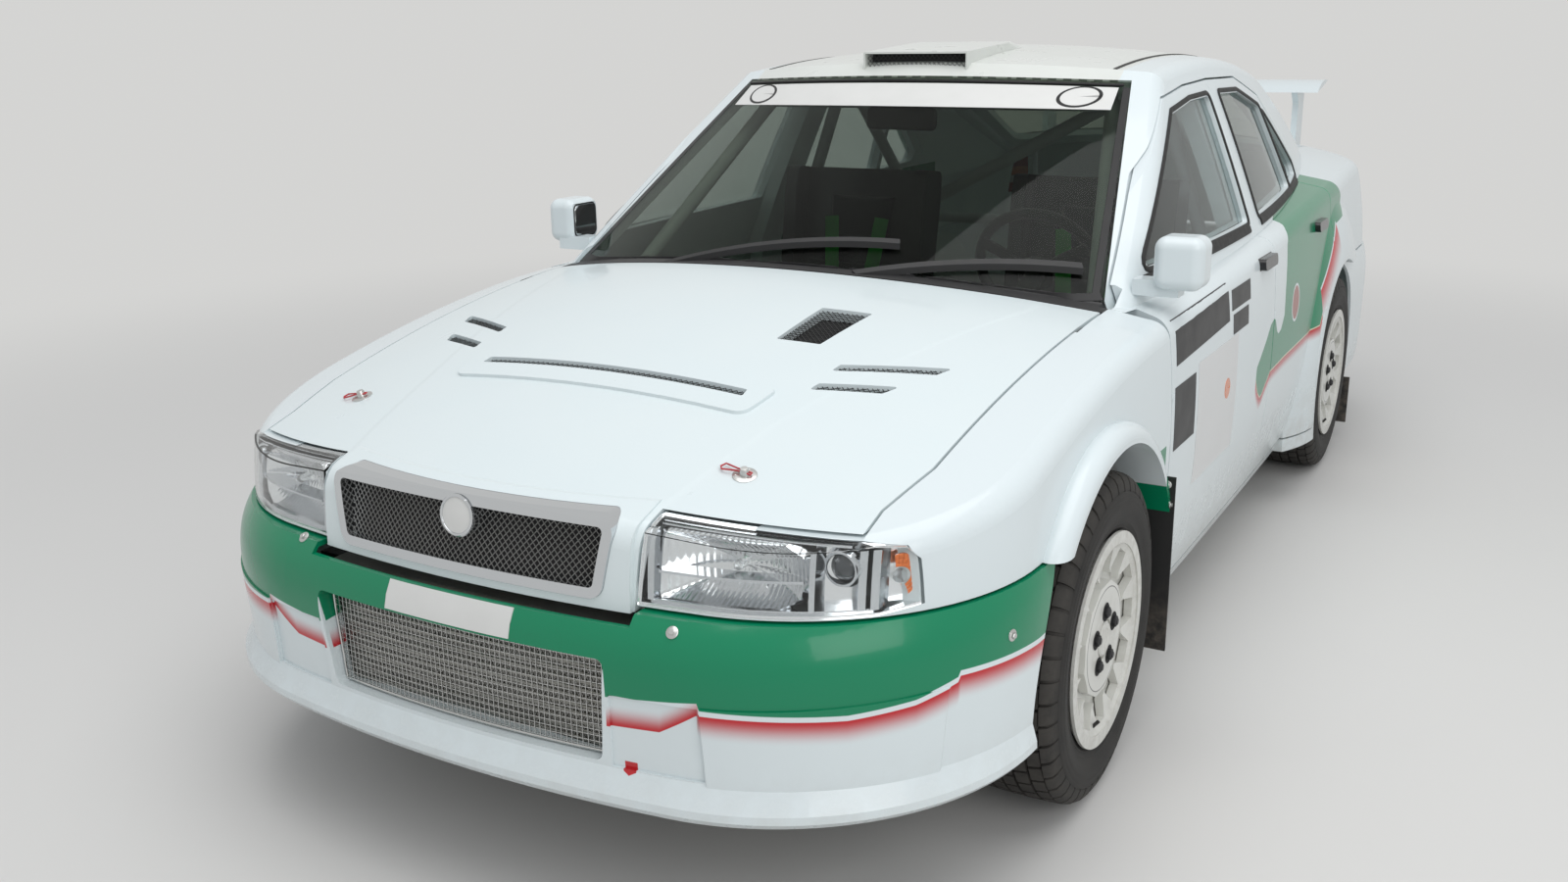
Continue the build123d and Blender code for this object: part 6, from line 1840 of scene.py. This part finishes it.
# %% Seat pads
SEATS = {"driver": 1, "codriver": -1}
PAD_ROWS, PAD_COLUMNS = 30, 22
PAD_THIN = 0.003
PAD_GAP = 0.001
SEWN_SHARE = 0.28
PADS = {
    "base": ((0.192, 0.548), (-0.430, 0.46), (-0.130, 0.46), FROM_ABOVE, 0.036, 4),
    "back": ((0.205, 0.535), (-0.40, 0.370), (-0.40, 0.790), FROM_FRONT, 0.030, 5),
    "head": ((0.262, 0.478), (-0.40, 0.850), (-0.40, 0.985), FROM_FRONT, 0.028, 1),
}

seat_cloth = Finish("seat_cloth", (0.022, 0.023, 0.026), 0.95, Sheen_Weight=0.5, Sheen_Roughness=0.5)
knit = seat_cloth.weave(seat_cloth.z, 0.0032, seat_cloth.x, 0.0032)
seat_cloth.color(seat_cloth.mix(knit, (0.016, 0.017, 0.019), (0.026, 0.027, 0.031)))
seat_cloth.bump(seat_cloth.math("ADD", knit, seat_cloth.noise(700, 3)), 0.0006, 0.7)


def pad_height(u, v, thick, channels):
    """A pad's height at a place from -1 to 1 each way, with sewn channels across it."""
    crowned = ((1 - u ** 4) * (1 - v ** 4)) ** 0.5
    sewn = abs(math.cos(math.pi * channels * v / 2)) ** 0.35
    return PAD_THIN + (thick - PAD_THIN) * crowned * (1 - SEWN_SHARE + SEWN_SHARE * sewn)


def pad_form(tree, corners, ray, thick, channels):
    """A crowned pad lying on a skin, from the four corners of its ray starts."""
    a, b, c, d = [Vector(corner) for corner in corners]
    ray = Vector(ray)
    front, back = [], []
    for v in spaced(-1, 1, PAD_ROWS):
        front_row, back_row = [], []
        for u in spaced(-1, 1, PAD_COLUMNS):
            s = (u * (1 - 0.05 * (1 - v * v)) + 1) / 2
            t = (v * (1 - 0.03 * (1 - u * u)) + 1) / 2
            hit, _ = drop(tree, a.lerp(b, s).lerp(d.lerp(c, s), t), ray)
            front_row.append(hit - ray * (pad_height(u, v, thick, channels) + PAD_GAP))
            back_row.append(hit - ray * PAD_GAP)
        front.append(front_row)
        back.append(back_row)
    form = Shape()
    form.sheet(front, back)
    return form


for seat_name, side in SEATS.items():
    shell = skin(f"{seat_name}_seat")
    for name, ((low, high), first, last, ray, thick, channels) in PADS.items():
        corners = [(side * x, *end) for x, end in ((low, first), (high, first), (high, last), (low, last))]
        pad = pad_form(shell, corners, ray, thick, channels)
        pad = pad.save(f"{seat_name}_{name}_pad", seat_cloth, "body", "seat_shell", 60)
print("pads", len(SEATS) * len(PADS))

# %% [markdown]
# ## Harness
#
# Each seat has a bright green harness: two shoulder straps, two lap straps and a round buckle.
# Webbing is a flat woven band, so each strap is one thin strip along its own path.

# %% Harness
WEB_SECTION = section([(0.023, -0.0009), (0.023, 0.0009)])
SEAT_MIDDLE = 0.370
SEAT_BACK = [(0.30, -0.110), (0.40, -0.088), (0.60, -0.035), (0.80, 0.013), (0.95, 0.048)]
STRAP_OFF = 0.036
STRAP_TOP, STRAP_STEP, STRAP_STEPS = 0.925, 0.030, 16
CHEST, LAP, BUCKLE_UP = (0, -0.75, 0.66), (0, -0.5, 0.87), (0, -0.55, 0.83)
BUCKLE_PLACE = (-0.205, 0.382)
BUCKLE_PROFILE = [(0, -0.004), (0.034, -0.004), (0.036, 0.006), (0.031, 0.014), (0.012, 0.016), (0, 0.016)]

webbing = Finish("green_webbing", (0.03, 0.42, 0.04), 0.7, Sheen_Weight=0.3)
woven = webbing.weave(webbing.z, 0.0022, webbing.x, 0.0030)
webbing.color(webbing.mix(woven, (0.02, 0.30, 0.03), (0.05, 0.50, 0.06)))
webbing.bump(woven, 0.0004, 0.6)


def back_face(z):
    """How far back the seat's inner face lies at a height."""
    for (low_z, low_y), (high_z, high_y) in zip(SEAT_BACK, SEAT_BACK[1:]):
        if z <= high_z:
            return low_y + (high_y - low_y) * (z - low_z) / (high_z - low_z)
    return SEAT_BACK[-1][1]


def shoulder_strap(middle, way):
    """A strap from the shoulder down to the buckle, as (point, normal) pairs."""
    path = []
    for step in range(STRAP_STEPS + 1):
        z = STRAP_TOP - step * STRAP_STEP
        spread = 0.030 + 0.055 * ((z - 0.445) / 0.48)
        path.append((Vector((middle + way * spread, back_face(z) - STRAP_OFF, z)), (0, -1, 0.15)))
    path.append((Vector((middle + way * 0.026, -0.145, 0.405)), CHEST))
    path.append((Vector((middle + way * 0.022, -0.190, 0.385)), BUCKLE_UP))
    return [(point, Vector(normal).normalized()) for point, normal in path]


def lap_strap(middle, way):
    """A strap from the hip to the buckle, as (point, normal) pairs."""
    path = []
    for t in spaced(0, 1, 8):
        rise = 0.026 * math.sin(t * 1.9)
        point = Vector((middle + way * (0.165 - 0.135 * t), -0.135 - 0.072 * t, 0.352 + rise))
        path.append((point, Vector(LAP).normalized()))
    return path


for seat_name, side in SEATS.items():
    middle = side * SEAT_MIDDLE
    straps, buckle = Shape(), Shape()
    for way in (1, -1):
        straps.strip(shoulder_strap(middle, way), WEB_SECTION)
        straps.strip(lap_strap(middle, way), WEB_SECTION)
    straps.save(f"{seat_name}_harness", webbing, "body", "seat_shell")
    buckle.turned(BUCKLE_PROFILE, facing((middle, *BUCKLE_PLACE), BUCKLE_UP), 32)
    buckle.save(f"{seat_name}_harness_buckle", steel, "body", "steel")
print("harnesses", len(SEATS))

# %% [markdown]
# ## Dashboard and wheel
#
# The dashboard carries dials behind the wheel and a switch panel in the middle. The dials have bare
# faces and one plain hand each. A gear lever stands near the middle of the floor, and the steering
# wheel has a plain centre pad.

# %% Dashboard
DIALS = [
    (0.300, 0.800, 0.034), (0.392, 0.812, 0.045), (0.482, 0.800, 0.034), (0.100, 0.790, 0.030),
    (0.020, 0.790, 0.030),
]
HAND_TURN = Matrix.Rotation(math.radians(55), 4, "Z")
SWITCH_PLACE = (0.055, 0.690)
SWITCH_COLUMNS, SWITCH_ROWS = 6, 2
SWITCH_COLLAR = [(0, 0), (0.0065, 0), (0.0065, 0.0016), (0.0035, 0.0022), (0, 0.0022)]
DASH_FROM = 0.2

dash_skin = skin("dashboard")


def on_dash(x, z):
    """A place on the dashboard's face."""
    return facing(*drop(dash_skin, (x, DASH_FROM, z), FROM_BACK))


dials, faces, switches, panel = Shape(), Shape(), Shape(), Shape()
for x, z, radius in DIALS:
    seat = on_dash(x, z)
    rim = [(radius, -0.002), (radius + 0.005, -0.002), (radius + 0.004, 0.009), (radius, 0.009)]
    dials.turned(rim, seat, 40)
    faces.turned([(0, 0.0), (radius, 0.0), (radius, 0.002), (0, 0.0025)], seat, 40)
    pointer = [(-0.001, 0), (0.001, 0), (0.0004, radius * 0.8), (-0.0004, radius * 0.8)]
    faces.plate(pointer, 0.003, 0.004, seat @ HAND_TURN, 0.0002)
panel_seat = on_dash(*SWITCH_PLACE)
panel.plate(centred_outline(0.105, 0.055, 0.010), 0.0, 0.004, panel_seat, 0.001)
for column in range(SWITCH_COLUMNS):
    for row in range(SWITCH_ROWS):
        spot = panel_seat @ Matrix.Translation((-0.080 + column * 0.032, -0.022 + row * 0.044, 0.004))
        switches.turned(SWITCH_COLLAR, spot, 16)
        switches.tube([spot @ Vector((0, 0, 0.001)), spot @ Vector((0, 0.004, 0.013))], 0.0018, 8)
dials.save("dial_rims", bright_metal, "body", "black_plastic")
faces.save("dial_faces", sticker_black, "body", "black_plastic")
panel.save("switch_panel", sticker_black, "body", "black_plastic")
switches.save("switches", bright_metal, "body", "steel")
print("dials", len(DIALS))

# %% Gear lever and wheel pad
LEVER_PATH = [(0.10, -0.52, 0.401), (0.115, -0.535, 0.55), (0.13, -0.54, 0.66)]
KNOB_PROFILE = [(0, -0.022), (0.010, -0.022), (0.020, -0.008), (0.022, 0.004), (0.015, 0.018), (0, 0.022)]
KNOB_PLACE = Matrix.Translation((0.131, -0.5405, 0.678))
WHEEL_NORMAL = Vector((0, 306, 180)).normalized()
WHEEL_CENTRE = Vector((0.370, -0.420, 0.880))
PAD_PROFILE = [(0, -0.001), (0.032, -0.001), (0.032, 0.004), (0.027, 0.007), (0, 0.008)]

lever, hub = Shape(), Shape()
lever.tube(LEVER_PATH, 0.007, 12)
lever.turned(KNOB_PROFILE, KNOB_PLACE, 24)
lever.save("gear_lever", black_plastic, "body", "black_plastic")
hub_point, _ = drop(skin("steering_wheel"), WHEEL_CENTRE + WHEEL_NORMAL * 0.2, -WHEEL_NORMAL)
hub.turned(PAD_PROFILE, facing(hub_point, WHEEL_NORMAL), 36)
hub.save("steering_wheel_pad", black_plastic, "steering_wheel", "black_plastic")
print("lever and wheel pad fitted")

# %% [markdown]
# ## Inner mirror
#
# A dark mirror hangs behind the sun strip, on a short stalk glued to the windscreen.

# %% Inner mirror
MIRROR_HEIGHT = 1.262
MIRROR_OFF = Vector((0.02, 0.085, -0.010))
MIRROR_AIM = (0.15, 1, -0.12)
STALK_RADIUS = 0.005

glass_point, _ = drop(screen_skin, (0, SCREEN_FROM, MIRROR_HEIGHT), FROM_FRONT)
mirror_seat = facing(glass_point + MIRROR_OFF, MIRROR_AIM)
inner_mirror, inner_glass = Shape(), Shape()
inner_mirror.plate(centred_outline(0.105, 0.029, 0.018), -0.016, 0.0, mirror_seat, 0.005)
inner_glass.plate(centred_outline(0.100, 0.025, 0.015), 0.0, 0.0012, mirror_seat)
mirror_top = mirror_seat @ Vector((0, 0.026, -0.004))
glued, _, _, _ = screen_skin.find_nearest(mirror_top)
inner_mirror.tube([mirror_seat @ Vector((0, 0.012, -0.006)), mirror_top, glued], STALK_RADIUS, 10)
inner_mirror.save("inner_mirror", black_plastic, "body", "black_plastic")
inner_glass.save("inner_mirror_glass", mirror_glass, "body", "glass")
print("stalk", round((glued - mirror_top).length * 1000), "mm")

# %% [markdown]
# ## Tail
#
# The tail lamps are red with an amber and a clear band, moulded with fine ribs inside. The tailgate
# has a black grip over the blank plate, a lock, and a seal round its glass. The exhaust has a rolled
# tip, and the rear bumper two small red reflectors. A thin seam on the right side marks the fuel
# flap.

# %% Tail lamps
LENS_RED, LENS_AMBER, LENS_CLEAR = (0.30, 0.006, 0.008), (0.62, 0.16, 0.01), (0.55, 0.55, 0.53)
AMBER_SPAN, CLEAR_SPAN = (0.866, 0.902), (0.832, 0.864)
LENS_RIB = 0.006

red_lens = Finish("tail_lens", LENS_RED, 0.08, Coat_Weight=1.0, Coat_Roughness=0.03)
bands = LENS_RED
for span, color in ((AMBER_SPAN, LENS_AMBER), (CLEAR_SPAN, LENS_CLEAR)):
    bands = red_lens.mix(red_lens.between(red_lens.z, *span, 0.002), bands, color)
ribs = red_lens.math("ADD", red_lens.ribs(red_lens.z, LENS_RIB), red_lens.ribs(red_lens.x, LENS_RIB))
red_lens.color(red_lens.mix(red_lens.math("MULTIPLY", ribs, 0.25), bands, (0.10, 0.004, 0.004)))
red_lens.bump(ribs, 0.0004, 0.3)
dress(["tail_lamps"], red_lens)
print("tail lamps dressed")

# %% Tailgate trim
GRIP_HALF, GRIP_HEIGHT = 0.19, 0.884
GRIP_SECTION = section([(0.013, -0.001), (0.013, 0.004), (0.008, 0.010)])
TAIL_LOCK_ACROSS = 0.26
TAIL_LOCK_PROFILE = [(0, -0.001), (0.012, -0.001), (0.012, 0.002), (0.009, 0.003), (0, 0.002)]
REAR_WINDOW = [(-0.462, 1.015), (0.462, 1.015), (0.498, 1.690), (-0.498, 1.690)]
HIGH_ABOVE = 3

tailgate_skin = skin("tailgate")
grip, lock, seal = Shape(), Shape(), Shape()
line = [(x, BEHIND, GRIP_HEIGHT) for x in spaced(-GRIP_HALF, GRIP_HALF, 16)]
grip.strip([drop(tailgate_skin, spot, FROM_BACK) for spot in line], GRIP_SECTION)
grip.save("tailgate_grip", black_plastic, "tailgate", "black_plastic")
lock_seat = facing(*drop(tailgate_skin, (TAIL_LOCK_ACROSS, BEHIND, GRIP_HEIGHT), FROM_BACK))
lock.turned(TAIL_LOCK_PROFILE, lock_seat, 28)
lock.save("tailgate_lock", bright_metal, "tailgate", "steel")
hits = [drop(tailgate_skin, (x, y, HIGH_ABOVE), FROM_ABOVE) for x, y in seal_line(REAR_WINDOW, 0.03)]
seal.strip(hits, SEAL_SECTION, True)
seal.save("tailgate_glass_seal", seal_rubber, "tailgate", "black_rubber")
print("tailgate trimmed")

# %% Exhaust, reflectors and fuel flap
TIP_PROFILE = [
    (0.0330, -0.030), (0.0385, -0.030), (0.0395, 0.001), (0.0375, 0.0055), (0.0345, 0.0055),
    (0.0330, 0.002),
]
TIP_PLACE = (-0.480, 2.2470, 0.262)
REFLECTOR_PLACE = (0.600, 0.420)
FUEL_FLAP = (1.395, 0.835)
FUEL_FLAP_RADIUS = 0.072
SEAM_SECTION = section([(0.0013, -0.0005), (0.0010, 0.0003)])

tip, reflectors, seam = Shape(), Shape(), Shape()
tip.turned(TIP_PROFILE, facing(TIP_PLACE, (0, 1, 0)), 48)
tip.save("exhaust_tip", bright_metal, "body", "steel")
rear_skin, frame_skin = skin("rear_bumper"), skin("side_frames")
for side in SIDES.values():
    hit = drop(rear_skin, (side * REFLECTOR_PLACE[0], BEHIND, REFLECTOR_PLACE[1]), FROM_BACK)
    reflectors.plate(centred_outline(0.045, 0.016, 0.006), -0.001, 0.004, facing(*hit), 0.001)
reflectors.save("rear_reflectors", red_lens, "body", "tail_lens")
ring = circle(FUEL_FLAP_RADIUS, 40, FUEL_FLAP)
seam.strip([side_drop(frame_skin, -1, y, z) for y, z in ring], SEAM_SECTION, True)
seam.save("fuel_flap_seam", seal_rubber, "body", "black_rubber")
print("tail dressed")
